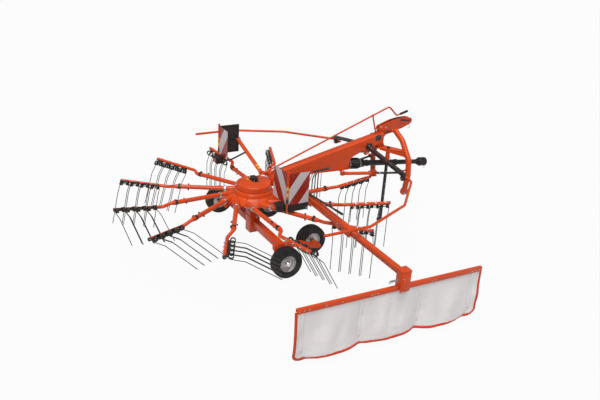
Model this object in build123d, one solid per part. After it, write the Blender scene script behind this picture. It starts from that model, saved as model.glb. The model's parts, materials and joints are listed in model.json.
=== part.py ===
"""Mounted rotary hay rake: one horizontal rotor with twelve tine arms, a curved boom to a
three point headstock, four small wheels under the rotor and a swath curtain at its side.

Millimetres. While it is modelled, +X points forward to the tractor, +Y to the left and +Z
up, with the rotor's axis at x = y = 0 and the ground at z = 0. The finished pieces are moved
together, so that the origin is at the middle of the rake's footprint, on the ground.
"""

import os
from math import cos, radians, sin

from build123d import *

# General fits
seat_gap = 0.3
running_gap = 0.1
cut_over = 5.0
sheet = 5.0
plate = 10.0

# Rotor: arms, tines and housing
arm_count = 12
arm_height = 700.0
arm_first_angle = 62.443
arm_side_step = 215.0
arm_tube_d = 62.0
arm_root = 411.0
arm_band_at = 1059.0
arm_band_length = 34.0
arm_band_wall = 5.0
arm_crank_start = 1112.0
arm_crank_end = 1228.0
arm_crank_lift = 62.0
arm_tip = 1890.0
tine_bar_d = 46.0
socket_ring_length = 30.0
socket_ring_wall = 9.0
drum_radius = 270.0
drum_top = 822.0
skirt_radius = 362.0
skirt_top = 768.0
skirt_bottom = 664.0
skirt_wall = 12.0
hub_bore_gap = 30.0
bearing_height = 50.0

tines_per_arm = 4
tine_pitch = 140.0
tine_pair_width = 132.0
tine_leg_space = 84.0
tine_end_step = 66.0
tine_wire = 9.0
tine_coil_d = 72.0
tine_coil_length = 40.0
tine_coil_away = 76.0
tine_coil_lean = 38.0
tine_clip_width = 30.0
tine_first_run = 170.0
tine_second_run = 480.0
tine_kick = 19.0

# Stationary gear cover, crank gearbox and centre column
cover_radius = 245.0
cover_bottom = 828.0
cover_shoulder_rise = 77.0
cover_top_rise = 104.0
cover_shoulder = cover_bottom + cover_shoulder_rise
cover_top = cover_bottom + cover_top_rise
column_shaft_d = 120.0
column_width = 150.0
column_top = 640.0
column_bottom = 165.0

# Wheels and axle
wheel_radius = 207.0
wheel_width = 165.0
tyre_shoulder = 16.0
rim_radius = 115.0
rim_width = 120.0
hub_radius = 34.0
axle_radius = 12.5
wheel_rear_x = -50.0
wheel_front_x = 580.0
wheel_outer_y = 1105.0
wheel_inner_y = 655.0
tandem_y = 850.0
tandem_height = 90.0
tandem_width = 60.0
axle_height = 310.0
axle_beam_height = 100.0
axle_beam_width = 90.0

# Boom: top line, nose and belly
boom_rear_x = 410.0
boom_front_x = 2130.0
boom_rear_top = 1030.0
boom_front_top = 1415.0
boom_nose_bottom = 1250.0
boom_belly_x = 1538.0
boom_belly_bottom = 911.0
boom_rear_bottom = 955.0
boom_width = 140.0
boom_wall = 8.0

# Headstock and its upright pin
pivot_x = 2090.0
pivot_pin_r = 25.0
pivot_boss_r = 55.0
pivot_low = 1190.0
pivot_high = 1440.0
arch_x = 2360.0
arch_tube_d = 85.0
arch_half_width = 455.0
arch_crown = 1430.0
arch_foot = 570.0
link_pin_d = 28.0
link_pin_length = 110.0
top_plate_front = 2655.0
top_plate_rise = 168.0
top_plate_height = pivot_high + top_plate_rise
top_plate_gap = 60.0
upper_bore_r = 12.75

# Height crank above the boom
crank_box_length = 90.0
crank_box_width = 160.0
crank_box_height = 52.0
crank_rod_d = 22.0
crank_grip_d = 34.0
crank_reach = 2220.0
crank_above_boom = 375.0
crank_rise = boom_front_top + crank_above_boom
crank_drop = 150.0
crank_grip_length = 150.0

# Drive shaft and the guard where it enters the boom
pto_rear_x = 1545.0
pto_rear_z = 975.0
pto_front_x = 3060.0
pto_front_z = 815.0
pto_tube_d = 88.0
pto_guard_d = 170.0
pto_guard_length = 290.0
pto_cone_d = 135.0
pto_cone_length = 130.0
pto_bore_r = 17.45
pto_bore_depth = 80.0

# Stand leg
stand_x = 2170.0
stand_y = -150.0
stand_tube_d = 50.0
stand_sleeve_d = 64.0
stand_sleeve_length = 160.0
stand_top = 1215.0
stand_foot_d = 120.0

# Stabilisers between the boom and the arch
stay_y = 105.0
stay_rear_x = 1400.0
stay_z = 872.0
stay_front_x = 2262.0
stay_front_y = 400.0
stay_tube_d = 50.0
stay_rod_d = 34.0
stay_tube_length = 520.0
stay_eye_r = 34.0
stay_pin_r = 10.0
stay_eye_free = 18.0

# Guard rails
rail_d = 36.0
rail_height = 1000.0
rail_half_width = 2000.0
rail_pin_x = 1900.0
rail_pin_y = 880.0
rail_pin_r = 9.0
rail_bar = 50.0
rail_first_run = 200.0
rail_bend = 288.0

# Swath curtain on its telescopic arm
curtain_turn = -2.3
curtain_root_x = 490.0
curtain_root_y = 450.0
curtain_arm_z = 860.0
curtain_arm_reach = 2420.0
sleeve_size = 80.0
inner_size = 66.0
sleeve_reach = 1380.0
curtain_length = 2400.0
curtain_rear_share = 0.535
curtain_top = 730.0
curtain_height = 630.0
curtain_thick = 14.0
curtain_rail_size = 40.0
curtain_push_in = 600.0

# Warning boards
board_side = 320.0
board_rear = 390.0
board_rise = 430.0
board_thick = 4.0
lamp_height = 100.0
lamp_depth = 114.0
lamp_width = 144.0
side_lamp_height = 105.0
side_lamp_depth = 70.0
board_post_d = 28.0
board_post_over = 35.0

parts = {}


def vec(*values):
    return Vector(*values)


def together(shapes):
    """Separate solids that share one node."""
    return Compound([solid for shape in shapes for solid in shape.solids()])


def rod(start, end, radius, inner=0.0):
    """A round bar, or a tube where inner is given, from one point to another."""
    line = Line(start, end)
    plane = Plane(origin=line @ 0, z_dir=line % 0)
    face = Circle(radius) if not inner else Circle(radius) - Circle(inner)
    return extrude(plane * face, line.length)


def bent(points, radius, bend):
    """A round bar along straight runs joined by arcs."""
    path = FilletPolyline(*points, radius=bend)
    return sweep(Plane(origin=path @ 0, z_dir=path % 0) * Circle(radius), path=path)


def beam(start, end, width, height, wall=0.0):
    """A rectangular bar, its height upward, hollow where wall is given."""
    line = Line(start, end)
    along = line % 0
    side = vec(0, 0, 1).cross(along)
    plane = Plane(origin=line @ 0, x_dir=side, z_dir=along)
    face = Rectangle(width, height)
    if wall:
        face -= Rectangle(width - 2 * wall, height - 2 * wall)
    return extrude(plane * face, line.length)


def block(low, high):
    """A rectangular block between two corners."""
    size = [b - a for a, b in zip(low, high)]
    middle = [(a + b) / 2 for a, b in zip(low, high)]
    return Pos(*middle) * Box(*size)


def plate_of(points, plane, thick):
    """A flat plate of the given outline, centred on its plane."""
    return extrude(plane * make_face(Polyline(*points, close=True)), thick / 2, both=True)


def turned(points, centre, direction):
    """A body of revolution from (radius, along) points about a line."""
    plane = Plane(origin=centre, x_dir=vec(0, 0, 1).cross(vec(*direction)).normalized()
                  if abs(direction[2]) < 1 else (1, 0, 0), z_dir=direction)
    flat = Plane(origin=plane.origin, x_dir=plane.x_dir, z_dir=plane.y_dir * -1)
    face = make_face(flat * Polyline(*points, close=True))
    return revolve(face, Axis(plane.origin, plane.z_dir), 360)


# Arms and tines
# Roll of each arm about its own tube, in degrees: 0 hangs to work, above that the cam lifts
# the tines behind the arm. The first arm is the one at arm_first_angle plus one step.
arm_rolls = (0, 23, 52, 69, 70, 63, 30, 0, 0, 0, 0, 0)


def arm_frame(number):
    """Where an arm starts and its three directions: out, ahead and up."""
    angle = radians(arm_first_angle + number * 360 / arm_count)
    out = vec(cos(angle), sin(angle), 0)
    ahead = vec(sin(angle), -cos(angle), 0)
    origin = ahead * arm_side_step + vec(0, 0, arm_height)
    return Plane(origin=origin, x_dir=out, z_dir=(0, 0, 1)), out, ahead


def rolled(number):
    """The arm's own frame, turned about the arm by its roll: X out, -Z along the tines."""
    plane, out, ahead = arm_frame(number)
    roll = arm_rolls[(number - 1) % len(arm_rolls)]
    return plane.location * Rot(roll, 0, 0)


def arm_solid():
    """One arm in its own frame: tube, step, tine bar and the black band over the joint."""
    lift = arm_crank_lift
    tube_r, bar_r = arm_tube_d / 2, tine_bar_d / 2
    tube = rod((arm_root + seat_gap, 0, 0), (arm_crank_start, 0, 0), tube_r)
    path = Polyline((arm_crank_start, 0, 0), (arm_crank_start + bar_r, 0, 0),
                    (arm_crank_end, 0, lift), (arm_tip, 0, lift))
    section = Plane(origin=path @ 0, z_dir=path % 0) * Circle(bar_r)
    bar = sweep(section, path=path, transition=Transition.RIGHT)
    band = rod((arm_band_at - arm_band_length / 2, 0, 0),
               (arm_band_at + arm_band_length / 2, 0, 0), tube_r + arm_band_wall)
    return tube + bar + band


def tine_solid():
    """One double tine in the arm's frame: two coils, the clip between and two bent legs."""
    coil_r = tine_coil_d / 2
    half = tine_pair_width / 2
    lean = radians(tine_coil_lean)
    centre_y = sin(lean) * tine_coil_away
    centre_z = arm_crank_lift - cos(lean) * tine_coil_away
    solid = None
    for side in (-1, 1):
        start = min(side * half, side * (half - tine_coil_length))
        drum = extrude(Plane(origin=(start, centre_y, centre_z), x_dir=(0, 1, 0),
                             z_dir=(1, 0, 0)) * RegularPolygon(coil_r, 8), tine_coil_length)
        leg = leg_solid(side * tine_leg_space / 2, centre_y, centre_z)
        solid = drum + leg if solid is None else solid + drum + leg
    # The clip reaches from the bar into the near side of both coils
    reach = half - tine_coil_length * 0.8
    near = tine_bar_d / 2 + seat_gap
    clip = Pos(0, 0, arm_crank_lift) * Rot(tine_coil_lean, 0, 0) * block(
        (-reach, -tine_clip_width / 2, coil_r * 0.6 - tine_coil_away),
        (reach, tine_clip_width / 2, -near))
    return solid + clip


def leg_solid(x, centre_y, centre_z):
    """A leg that leaves the coil behind the arm, bends once and ends near the ground."""
    kick = radians(tine_kick)
    start = vec(x, centre_y, centre_z)
    knee = start + vec(0, sin(kick), -cos(kick)) * tine_first_run
    tip = knee + vec(0, 0, -tine_second_run)
    path = Polyline(start, knee, tip)
    section = Plane(origin=start, x_dir=(1, 0, 0), z_dir=path % 0) * Rectangle(tine_wire, tine_wire)
    return sweep(section, path=path, transition=Transition.RIGHT)


def tine_places():
    """Middle of each double tine along its arm, the outermost one first."""
    last = arm_tip - tine_end_step
    return [last - tine_pitch * step for step in range(tines_per_arm)]


def make_rotor():
    arm, tine = arm_solid(), tine_solid()
    arms, rings = [], []
    for number in range(1, arm_count + 1):
        plane = arm_frame(number)[0]
        place = rolled(number)
        arms.append(place * arm)
        tines = [place * Pos(x, 0, 0) * tine for x in tine_places()]
        parts[f"tines_{number:02d}"] = together(tines)
        ring = rod((arm_root - socket_ring_length / 2, 0, 0),
                   (arm_root + socket_ring_length / 2, 0, 0),
                   arm_tube_d / 2 + socket_ring_wall, arm_tube_d / 2 + seat_gap)
        rings.append(plane.location * ring)
    parts["tine_arms"] = together(arms)
    parts["socket_rings"] = together(rings)

    shaft_r = column_shaft_d / 2
    drum = turned([(shaft_r + hub_bore_gap, skirt_bottom), (skirt_radius, skirt_bottom),
                   (skirt_radius, skirt_bottom + skirt_wall * 2), (drum_radius + skirt_wall, skirt_top),
                   (drum_radius, skirt_top), (drum_radius, drum_top - skirt_wall),
                   (drum_radius - skirt_wall, drum_top), (shaft_r + running_gap, drum_top),
                   (shaft_r + running_gap, drum_top - bearing_height),
                   (shaft_r + hub_bore_gap, drum_top - bearing_height)], (0, 0, 0), (0, 0, 1))
    for number in range(1, arm_count + 1):
        place = arm_frame(number)[0].location
        drum += place * rod((arm_side_step, 0, 0), (arm_root, 0, 0), arm_tube_d / 2)
    parts["rotor_hub"] = drum


def make_cover():
    shaft_r = column_shaft_d / 2
    parts["gear_cover"] = turned(
        [(shaft_r + running_gap, cover_bottom), (cover_radius, cover_bottom),
         (cover_radius, cover_shoulder - skirt_wall), (cover_radius - skirt_wall, cover_shoulder),
         (cover_radius / 3, cover_top), (0, cover_top), (0, cover_bottom + bearing_height),
         (shaft_r + running_gap, cover_bottom + bearing_height)], (0, 0, 0), (0, 0, 1))
    half = column_width / 2
    shaft = Pos(0, 0, (column_top + cover_bottom + bearing_height) / 2) * Cylinder(
        shaft_r, cover_bottom + bearing_height - column_top)
    box = block((-half, -half, column_bottom), (half, half, column_top))
    parts["centre_column"] = shaft + box


# Wheels
# Name, place along X, side of the machine and distance from the middle
wheels = (("rear_right", wheel_rear_x, -1, wheel_outer_y),
          ("rear_left", wheel_rear_x, 1, wheel_outer_y),
          ("front_right", wheel_front_x, -1, wheel_inner_y),
          ("front_left", wheel_front_x, 1, wheel_inner_y))


def make_wheels():
    half = wheel_width / 2
    tyre = [(rim_radius, -half), (wheel_radius - tyre_shoulder, -half),
            (wheel_radius, tyre_shoulder - half), (wheel_radius, half - tyre_shoulder),
            (wheel_radius - tyre_shoulder, half), (rim_radius, half)]
    rim_wall = sheet
    rim = [(axle_radius + running_gap, -rim_width / 2), (hub_radius, -rim_width / 2),
           (hub_radius, -rim_width / 6), (rim_radius - 2 * rim_wall, -rim_width / 6),
           (rim_radius - 2 * rim_wall, -rim_width / 2), (rim_radius - seat_gap, -rim_width / 2),
           (rim_radius - seat_gap, rim_width / 2), (rim_radius - 2 * rim_wall, rim_width / 2),
           (rim_radius - 2 * rim_wall, rim_width / 6), (hub_radius, rim_width / 6),
           (hub_radius, rim_width / 2), (axle_radius + running_gap, rim_width / 2)]
    for name, x, side, y in wheels:
        centre = (x, side * y, wheel_radius)
        parts[f"tyre_{name}"] = turned(tyre, centre, (0, 1, 0))
        parts[f"rim_{name}"] = turned(rim, centre, (0, 1, 0))


def make_axle():
    """Cross beam under the column, and the two tandem beams with their stub axles."""
    reach = tandem_y - tandem_width / 2 - seat_gap
    half = column_width / 2 + seat_gap
    height = axle_height
    beams = [beam((0, side * half, height), (0, side * reach, height),
                  axle_beam_width, axle_beam_height, sheet * 2) for side in (-1, 1)]
    parts["axle_beam"] = together(beams)
    for side, name in ((-1, "right"), (1, "left")):
        arm = beam((wheel_rear_x - tandem_width, side * tandem_y, height),
                   (wheel_front_x + tandem_width, side * tandem_y, height),
                   tandem_width, tandem_height)
        for x, y in ((wheel_rear_x, wheel_outer_y), (wheel_front_x, wheel_inner_y)):
            out = 1 if y > tandem_y else -1
            near = tandem_y + out * tandem_width / 2
            end = y + out * rim_width / 2
            arm += rod((x, side * tandem_y, wheel_radius), (x, side * end, wheel_radius), axle_radius)
            arm += rod((x, side * tandem_y, wheel_radius),
                       (x, side * (y - out * (wheel_width / 2 + cut_over)), wheel_radius), hub_radius)
            arm += block((x - tandem_width / 2, side * tandem_y - tandem_width / 2,
                          wheel_radius - hub_radius),
                         (x + tandem_width / 2, side * tandem_y + tandem_width / 2, height))
        parts[f"tandem_beam_{name}"] = arm


def boom_outline(inset=0.0):
    """Side view of the boom, smaller by the inset at its top and ends."""
    span = boom_front_x - boom_rear_x
    rise = boom_front_top - boom_rear_top

    def top_at(x):
        return boom_rear_top + rise * (x - boom_rear_x) / span - inset

    rear, front = boom_rear_x + inset, boom_front_x - inset
    belly = boom_belly_x - inset
    # The underside climbs from the belly's step to the nose, with one knee on the way
    step_share, knee_share = 0.46, 0.86
    climb = boom_nose_bottom - boom_belly_bottom
    knee_x = belly + (front - belly) / 2
    return [(rear, top_at(rear)), (front, top_at(front)), (front, boom_nose_bottom),
            (knee_x, boom_belly_bottom + climb * knee_share),
            (belly, boom_belly_bottom + climb * step_share), (belly, boom_belly_bottom),
            (rear, boom_rear_bottom)]


def make_boom():
    """Deep pressed beam, open underneath, with the foot that joins the gear cover."""
    outside = plate_of(boom_outline(), Plane.XZ, boom_width)
    hollow = plate_of(boom_outline(boom_wall), Plane.XZ, boom_width - 2 * boom_wall)
    deep = boom_outline(boom_wall)
    below = plate_of([deep[4], deep[5], deep[6], (deep[6][0], deep[6][1] - cut_over * 20),
                      (deep[5][0], deep[5][1] - cut_over * 20)], Plane.XZ,
                     boom_width - 2 * boom_wall)
    body = outside - hollow - below
    boss = Pos(pivot_x, 0, (pivot_low + pivot_high) / 2) * Cylinder(pivot_boss_r, pivot_high - pivot_low)
    # The foot wraps the gear cover and rises into the boom's rear end
    foot_rear = cover_radius * 0.6
    foot = plate_of([(foot_rear, cover_bottom), (boom_rear_x + boom_width, cover_bottom),
                     (boom_rear_x + boom_width, boom_rear_bottom), (boom_rear_x, boom_rear_bottom),
                     (boom_rear_x, boom_rear_top), (foot_rear, cover_top + cover_bottom / 9)],
                    Plane.XZ, boom_width)
    round_cover = Pos(0, 0, (cover_bottom + cover_top) / 2) * Cylinder(
        cover_radius + seat_gap, cover_top - cover_bottom + 2 * cut_over)
    above_cover = block((0, -boom_width, cover_top + seat_gap), (cover_radius + cut_over, boom_width,
                                                                boom_front_top))
    lower_foot = foot - round_cover - above_cover
    # Lugs for the stabilisers' pins
    lugs = None
    for side in (-1, 1):
        level = stay_z + stay_tube_d / 2 + seat_gap
        outer, inner = side * (stay_y + stay_eye_r), side * (boom_width / 2 - boom_wall)
        lug = block((stay_rear_x - stay_eye_r, min(outer, inner), level),
                    (stay_rear_x + stay_eye_r, max(outer, inner), level + plate))
        rib = side * (boom_width / 2 + plate)
        lug += block((stay_rear_x - stay_eye_r, min(rib, inner), level),
                     (stay_rear_x + stay_eye_r, max(rib, inner), boom_belly_bottom + 4 * plate))
        pin = Pos(stay_rear_x, side * stay_y, stay_z + plate / 2) * Cylinder(
            stay_pin_r, stay_tube_d + plate)
        lugs = lug + pin if lugs is None else lugs + lug + pin
    parts["boom"] = body + boss - Pos(pivot_x, 0, pivot_high) * Cylinder(
        pivot_pin_r, 2 * (pivot_high - pivot_low) + cut_over) + lower_foot + lugs


def make_crank():
    """Height crank: gearbox on the cover, long rod over the boom, cranked end and grip."""
    half = crank_box_length / 2
    base = cover_top + seat_gap
    parts["crank_gearbox"] = block((-half, -crank_box_width / 2, base),
                                   (half, crank_box_width / 2, base + crank_box_height))
    start = (0, 0, base + crank_box_height * 0.5)
    top = (crank_reach, 0, crank_rise)
    low = (crank_reach + crank_drop * 1.05, 0, crank_rise - crank_drop)
    grip_start = (low[0] + crank_grip_length * 0.35, 0, low[2] + crank_grip_length * 0.1)
    rod_body = bent([start, top, low, grip_start], crank_rod_d / 2, crank_rod_d * 2)
    rod_body -= block((-half, -crank_box_width, base - cut_over),
                      (half + seat_gap, crank_box_width, base + 2 * crank_box_height))
    grip_end = (grip_start[0] + crank_grip_length, 0, grip_start[2] + crank_grip_length * 0.27)
    grip = rod(grip_start, grip_end, crank_grip_d / 2)
    parts["height_crank"] = rod_body + grip
    # Post that carries the rod
    foot_x = boom_front_x - boom_width * 0.8
    foot_z = boom_rear_top + (boom_front_top - boom_rear_top) * (foot_x - boom_rear_x) / (
        boom_front_x - boom_rear_x)
    head_x = foot_x - boom_width * 0.65
    head_z = start[2] + (top[2] - start[2]) * (head_x - start[0]) / (top[0] - start[0])
    post = beam((foot_x, 0, foot_z - cut_over), (head_x, 0, head_z + crank_rod_d), crank_rod_d * 1.4,
                crank_rod_d * 0.8)
    post -= rod(start, top, crank_rod_d / 2 + running_gap)
    parts["crank_post"] = post - plate_of(boom_outline(), Plane.XZ, boom_width)


def make_headstock():
    """Arch of tube with link brackets, swinging on an upright pin at the boom's nose."""
    radius = arch_tube_d / 2
    # Shares of the arch's half width and of its height, from the crown to the foot
    arch_shares = ((0.0, 1.0), (0.5, 0.86), (0.93, 0.58), (1.0, 0.3), (0.9, 0.0))
    rise = arch_crown - arch_foot
    half = [(arch_x, arch_half_width * wide, arch_foot + rise * high) for wide, high in arch_shares]
    other = [(x, -y, z) for x, y, z in reversed(half[1:])]
    arch = bent(other + half, radius, arch_tube_d * 1.5)
    parts["headstock_arch"] = arch

    # Two upright cheeks from the pin to the upper link's bore
    back, front = pivot_x - pivot_boss_r, top_plate_front
    low, high = pivot_high + seat_gap + plate, top_plate_height
    drop = high - low
    span = front - back
    cheek_shares = ((0.0, 0.0), (0.22, 0.0), (0.45, -0.1), (0.66, -0.12), (0.97, 0.35), (1.0, 0.55),
                    (0.98, 0.92), (0.85, 1.0), (0.6, 0.98), (0.35, 0.8), (0.12, 0.5), (0.0, 0.3))
    cheek = [(back + along * span, low + up * drop) for along, up in cheek_shares]
    cheeks = None
    for side in (-1, 1):
        flat = Pos(0, side * (top_plate_gap + plate) / 2, 0) * plate_of(cheek, Plane.XZ, plate)
        cheeks = flat if cheeks is None else cheeks + flat
    sole = block((back, -pivot_boss_r, pivot_high + seat_gap),
                 (back + span * 0.3, pivot_boss_r, pivot_high + seat_gap + plate))
    cheeks += sole
    bore_x, bore_z = upper_bore()
    cheeks -= Pos(bore_x, 0, bore_z) * Rot(90, 0, 0) * Cylinder(
        upper_bore_r, top_plate_gap + 2 * plate + cut_over)
    cheeks -= Pos(pivot_x, 0, pivot_high) * Cylinder(pivot_pin_r + running_gap, boom_width)
    parts["top_plates"] = cheeks - arch

    # Lower cross plate from the pin to both legs of the arch
    level = pivot_low - seat_gap - plate
    reach_y = arch_half_width * 0.8
    cross = [(pivot_x - pivot_boss_r, -pivot_boss_r * 1.6), (arch_x - radius, -reach_y),
             (arch_x, -reach_y), (arch_x, -reach_y * 0.8), (pivot_x + pivot_boss_r * 2, 0),
             (arch_x, reach_y * 0.8), (arch_x, reach_y), (arch_x - radius, reach_y),
             (pivot_x - pivot_boss_r, pivot_boss_r * 1.6)]
    lower = extrude(Plane.XY.offset(level) * make_face(Polyline(*cross, close=True)), plate)
    lower -= Pos(pivot_x, 0, pivot_low) * Cylinder(pivot_pin_r + running_gap, boom_width)
    lower -= Pos(stand_x, stand_y, pivot_low) * Cylinder(stand_tube_d / 2 + running_gap, boom_width)
    parts["cross_plate"] = lower - arch

    # Feet with the lower link pins, and the lugs for the stabilisers
    feet = []
    for side in (-1, 1):
        y = side * arch_half_width * 0.9
        bracket = block((arch_x - radius * 1.6, y - plate, arch_foot - radius * 1.5),
                        (arch_x + radius * 1.2, y + plate, arch_foot + radius * 1.3)) - arch
        pin = rod((arch_x, y, arch_foot - radius * 0.6),
                  (arch_x, y + side * (plate + link_pin_length), arch_foot - radius * 0.6), link_pin_d / 2)
        feet.append(bracket + pin)
    parts["link_feet"] = together(feet)
    lugs = []
    for side in (-1, 1):
        y = side * stay_front_y
        eye_top = stay_z + stay_rod_d / 2
        lug = block((stay_front_x - stay_pin_r * 2, y - stay_pin_r * 2, eye_top + cut_over),
                    (arch_x, y + stay_pin_r * 2, eye_top + cut_over + plate)) - arch
        pin = Pos(stay_front_x, y, stay_z + cut_over) * Cylinder(stay_pin_r, stay_rod_d + 2 * cut_over)
        feet_lug = lug + pin
        lugs.append(max(feet_lug.solids(), key=lambda solid: solid.volume))
    parts["stay_lugs"] = together(lugs)
    parts["pivot_pin"] = Pos(pivot_x, 0, (pivot_low + pivot_high) / 2) * Cylinder(
        pivot_pin_r, pivot_high - pivot_low + 2 * (plate + cut_over) + 2 * plate)


def upper_bore():
    """Centre of the upper link's bore in the side view."""
    return top_plate_front - plate * 3.5, top_plate_height - plate * 5


def make_stand():
    """Stand leg in its sleeve below the headstock's cross plate."""
    level = pivot_low - 2 * seat_gap - plate
    running = stand_tube_d / 2 + running_gap
    parts["stand_sleeve"] = rod((stand_x, stand_y, level - stand_sleeve_length),
                                (stand_x, stand_y, level), stand_sleeve_d / 2, running)
    leg = Pos(stand_x, stand_y, (stand_top + plate) / 2) * Cylinder(stand_tube_d / 2, stand_top - plate)
    foot = Pos(stand_x, stand_y, plate / 2) * Cylinder(stand_foot_d / 2, plate)
    parts["stand_leg"] = leg + foot


def make_drive():
    """Drive shaft in its guard tube, from the bellows at the boom to the tractor's end."""
    rear = vec(pto_rear_x, 0, pto_rear_z)
    front = vec(pto_front_x, 0, pto_front_z)
    along = (front - rear).normalized()
    guard_end = rear + along * pto_guard_length
    bellows = rod(rear - along * plate, guard_end, pto_guard_d / 2, pto_tube_d / 2 + running_gap)
    parts["input_guard"] = bellows - plate_of(boom_outline(), Plane.XZ, boom_width)
    tube = rod(rear + along * plate, front, pto_tube_d / 2)
    cone = rod(front - along * pto_cone_length, front, pto_cone_d / 2)
    bore = rod(front - along * pto_bore_depth, front + along * cut_over, pto_bore_r)
    parts["drive_shaft"] = tube + cone - bore


def make_stays():
    """Telescopic stabilisers, each a tube on the boom and a rod towards the arch."""
    for side, name in ((-1, "right"), (1, "left")):
        rear = vec(stay_rear_x, side * stay_y, stay_z)
        front = vec(stay_front_x, side * stay_front_y, stay_z)
        along = (front - rear).normalized()
        tube_end = rear + along * stay_tube_length
        eye = Pos(*rear) * Cylinder(stay_eye_r, stay_tube_d)
        bore = rod(rear + along * stay_eye_r * 1.5, tube_end + along * cut_over,
                   stay_rod_d / 2 + running_gap)
        tube = eye + rod(rear, tube_end, stay_tube_d / 2) - bore
        parts[f"stay_tube_{name}"] = tube - Pos(*rear) * Cylinder(stay_pin_r + running_gap,
                                                                 stay_tube_d * 2)
        inside = tube_end - along * stay_tube_length * 0.5
        ring_r = stay_pin_r + stay_eye_free
        bar = rod(inside, front, stay_rod_d / 2) + Pos(*front) * Cylinder(
            ring_r + stay_pin_r, stay_rod_d)
        parts[f"stay_rod_{name}"] = bar - Pos(*front) * Cylinder(ring_r, stay_rod_d * 2)


def rail_points(side):
    """Route of a guard rail: from its pin out and back round the rotor."""
    # Shares of the way back to the rotor's axis and of the way out to the full half width
    out = rail_half_width - rail_pin_y
    rail_shares = ((0.0, 0.0), (0.0, rail_first_run / out), (0.31, 0.7), (0.73, 1.0), (1.06, 1.0))
    return [(rail_pin_x + rail_bar * 1.2 - along * rail_pin_x, side * (rail_pin_y + wide * out),
             rail_height) for along, wide in rail_shares]


def make_rails():
    brackets = []
    for side, name in ((-1, "right"), (1, "left")):
        lug_x = rail_pin_x + rail_bar * 1.2
        rail = bent(rail_points(side), rail_d / 2, [rail_bend / 2, rail_bend, rail_bend])
        lug = rod((lug_x - rail_bar / 2, side * rail_pin_y, rail_height),
                  (lug_x + rail_bar / 2, side * rail_pin_y, rail_height), rail_d * 0.7)
        pin_hole = rod((lug_x - rail_bar, side * rail_pin_y, rail_height),
                       (lug_x + rail_bar, side * rail_pin_y, rail_height), rail_pin_r + running_gap)
        parts[f"guard_rail_{name}"] = rail + lug - pin_hole
        bar_end = lug_x - rail_bar / 2 - seat_gap - rail_bar / 2
        root = (bar_end - rail_bar, side * boom_width / 2, boom_nose_bottom)
        knee = (bar_end, side * (rail_pin_y + rail_bar / 2), rail_height + rail_bar * 2)
        arm = beam(root, knee, rail_bar, rail_bar)
        drop = block((bar_end - rail_bar / 2, side * rail_pin_y - rail_bar / 2,
                      rail_height - rail_bar / 2),
                     (bar_end + rail_bar / 2, side * rail_pin_y + rail_bar / 2,
                      rail_height + rail_bar * 2.4))
        pin = rod((bar_end, side * rail_pin_y, rail_height),
                  (lug_x + rail_bar * 0.7, side * rail_pin_y, rail_height), rail_pin_r)
        brackets.append(arm + drop + pin - plate_of(boom_outline(), Plane.XZ, boom_width))
    parts["rail_brackets"] = together(
        max(bracket.solids(), key=lambda solid: solid.volume) for bracket in brackets)


def curtain_place():
    """Frame of the curtain's arm: origin at its fold, -Y out along the arm."""
    return Pos(curtain_root_x, -curtain_root_y, curtain_arm_z) * Rot(0, 0, curtain_turn)


def make_curtain():
    place = curtain_place()
    half = sleeve_size / 2
    # Carrier from the boom to the fold, in the frame of the arm
    eye_width = sleeve_size + 2 * plate
    carrier = beam((curtain_root_x, 0, curtain_arm_z + 2 * half),
                   (curtain_root_x, -curtain_root_y + half * 1.6, curtain_arm_z), sleeve_size, sleeve_size)
    carrier -= block((0, -boom_width / 2 - seat_gap, 0), (boom_front_x, boom_width, boom_front_top))
    ears = None
    for side in (-1, 1):
        x = side * (half + seat_gap + plate / 2)
        ear = place * block((x - plate / 2, -half, -half), (x + plate / 2, half * 2.4, half))
        ears = ear if ears is None else ears + ear
    web = place * block((-half - plate, half * 1.5, -half), (half + plate, half * 2.4, half))
    pin = place * rod((-half - plate, 0, 0), (half + plate, 0, 0), plate)
    parts["side_carrier"] = (carrier + ears + web - place * Pos(0, -half, 0) * Box(
        sleeve_size + 2 * seat_gap, half * 4.6, sleeve_size + cut_over)) + pin

    sleeve = block((-half, -sleeve_reach, -half), (half, half, half))
    flare = block((-half - plate, -sleeve_reach, -half * 1.4), (-half, -sleeve_reach * 0.76, half))
    hollow = block((-inner_size / 2 - running_gap, -sleeve_reach - cut_over, -inner_size / 2 - running_gap),
                   (inner_size / 2 + running_gap, -half * 2, inner_size / 2 + running_gap))
    sleeve = sleeve + flare - hollow - rod((-half * 2, 0, 0), (half * 2, 0, 0), plate + running_gap)
    parts["arm_sleeve"] = place * sleeve
    lever_low = vec(0, -half * 4, half + plate)
    lever = rod(lever_low, (0, -sleeve_reach * 0.8, half * 3.4), plate) + block(
        (-plate, -half * 5, half), (plate, -half * 3, half + plate * 2))
    parts["lock_lever"] = place * lever

    reach = curtain_arm_reach
    inner = block((-inner_size / 2, -reach, -inner_size / 2),
                  (inner_size / 2, -half * 4 - curtain_push_in, inner_size / 2))
    parts["inner_arm"] = place * inner
    box_half = inner_size * 0.75
    rail_top = curtain_top - curtain_arm_z
    clamp = block((-box_half, -reach - box_half, rail_top - curtain_rail_size),
                  (box_half, -reach + box_half, box_half))
    grip = rod((-box_half, -reach, rail_top), (-box_half * 4, -reach, rail_top), plate)
    clamp = clamp + grip - block((-inner_size / 2, -reach, -inner_size / 2),
                                 (inner_size / 2, -reach + 2 * box_half, inner_size / 2))
    rail_y = -reach
    rear, front = -curtain_length * curtain_rear_share, curtain_length * (1 - curtain_rear_share)
    bar = block((rear, rail_y - curtain_rail_size / 2, rail_top - curtain_rail_size),
                (front, rail_y + curtain_rail_size / 2, rail_top))
    parts["curtain_clamp"] = place * (clamp - bar)
    parts["curtain_rail"] = place * bar
    cloth = block((rear, rail_y - curtain_thick / 2, rail_top - curtain_height),
                  (front, rail_y + curtain_thick / 2, rail_top - curtain_rail_size - seat_gap))
    parts["swath_curtain"] = place * cloth


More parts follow.
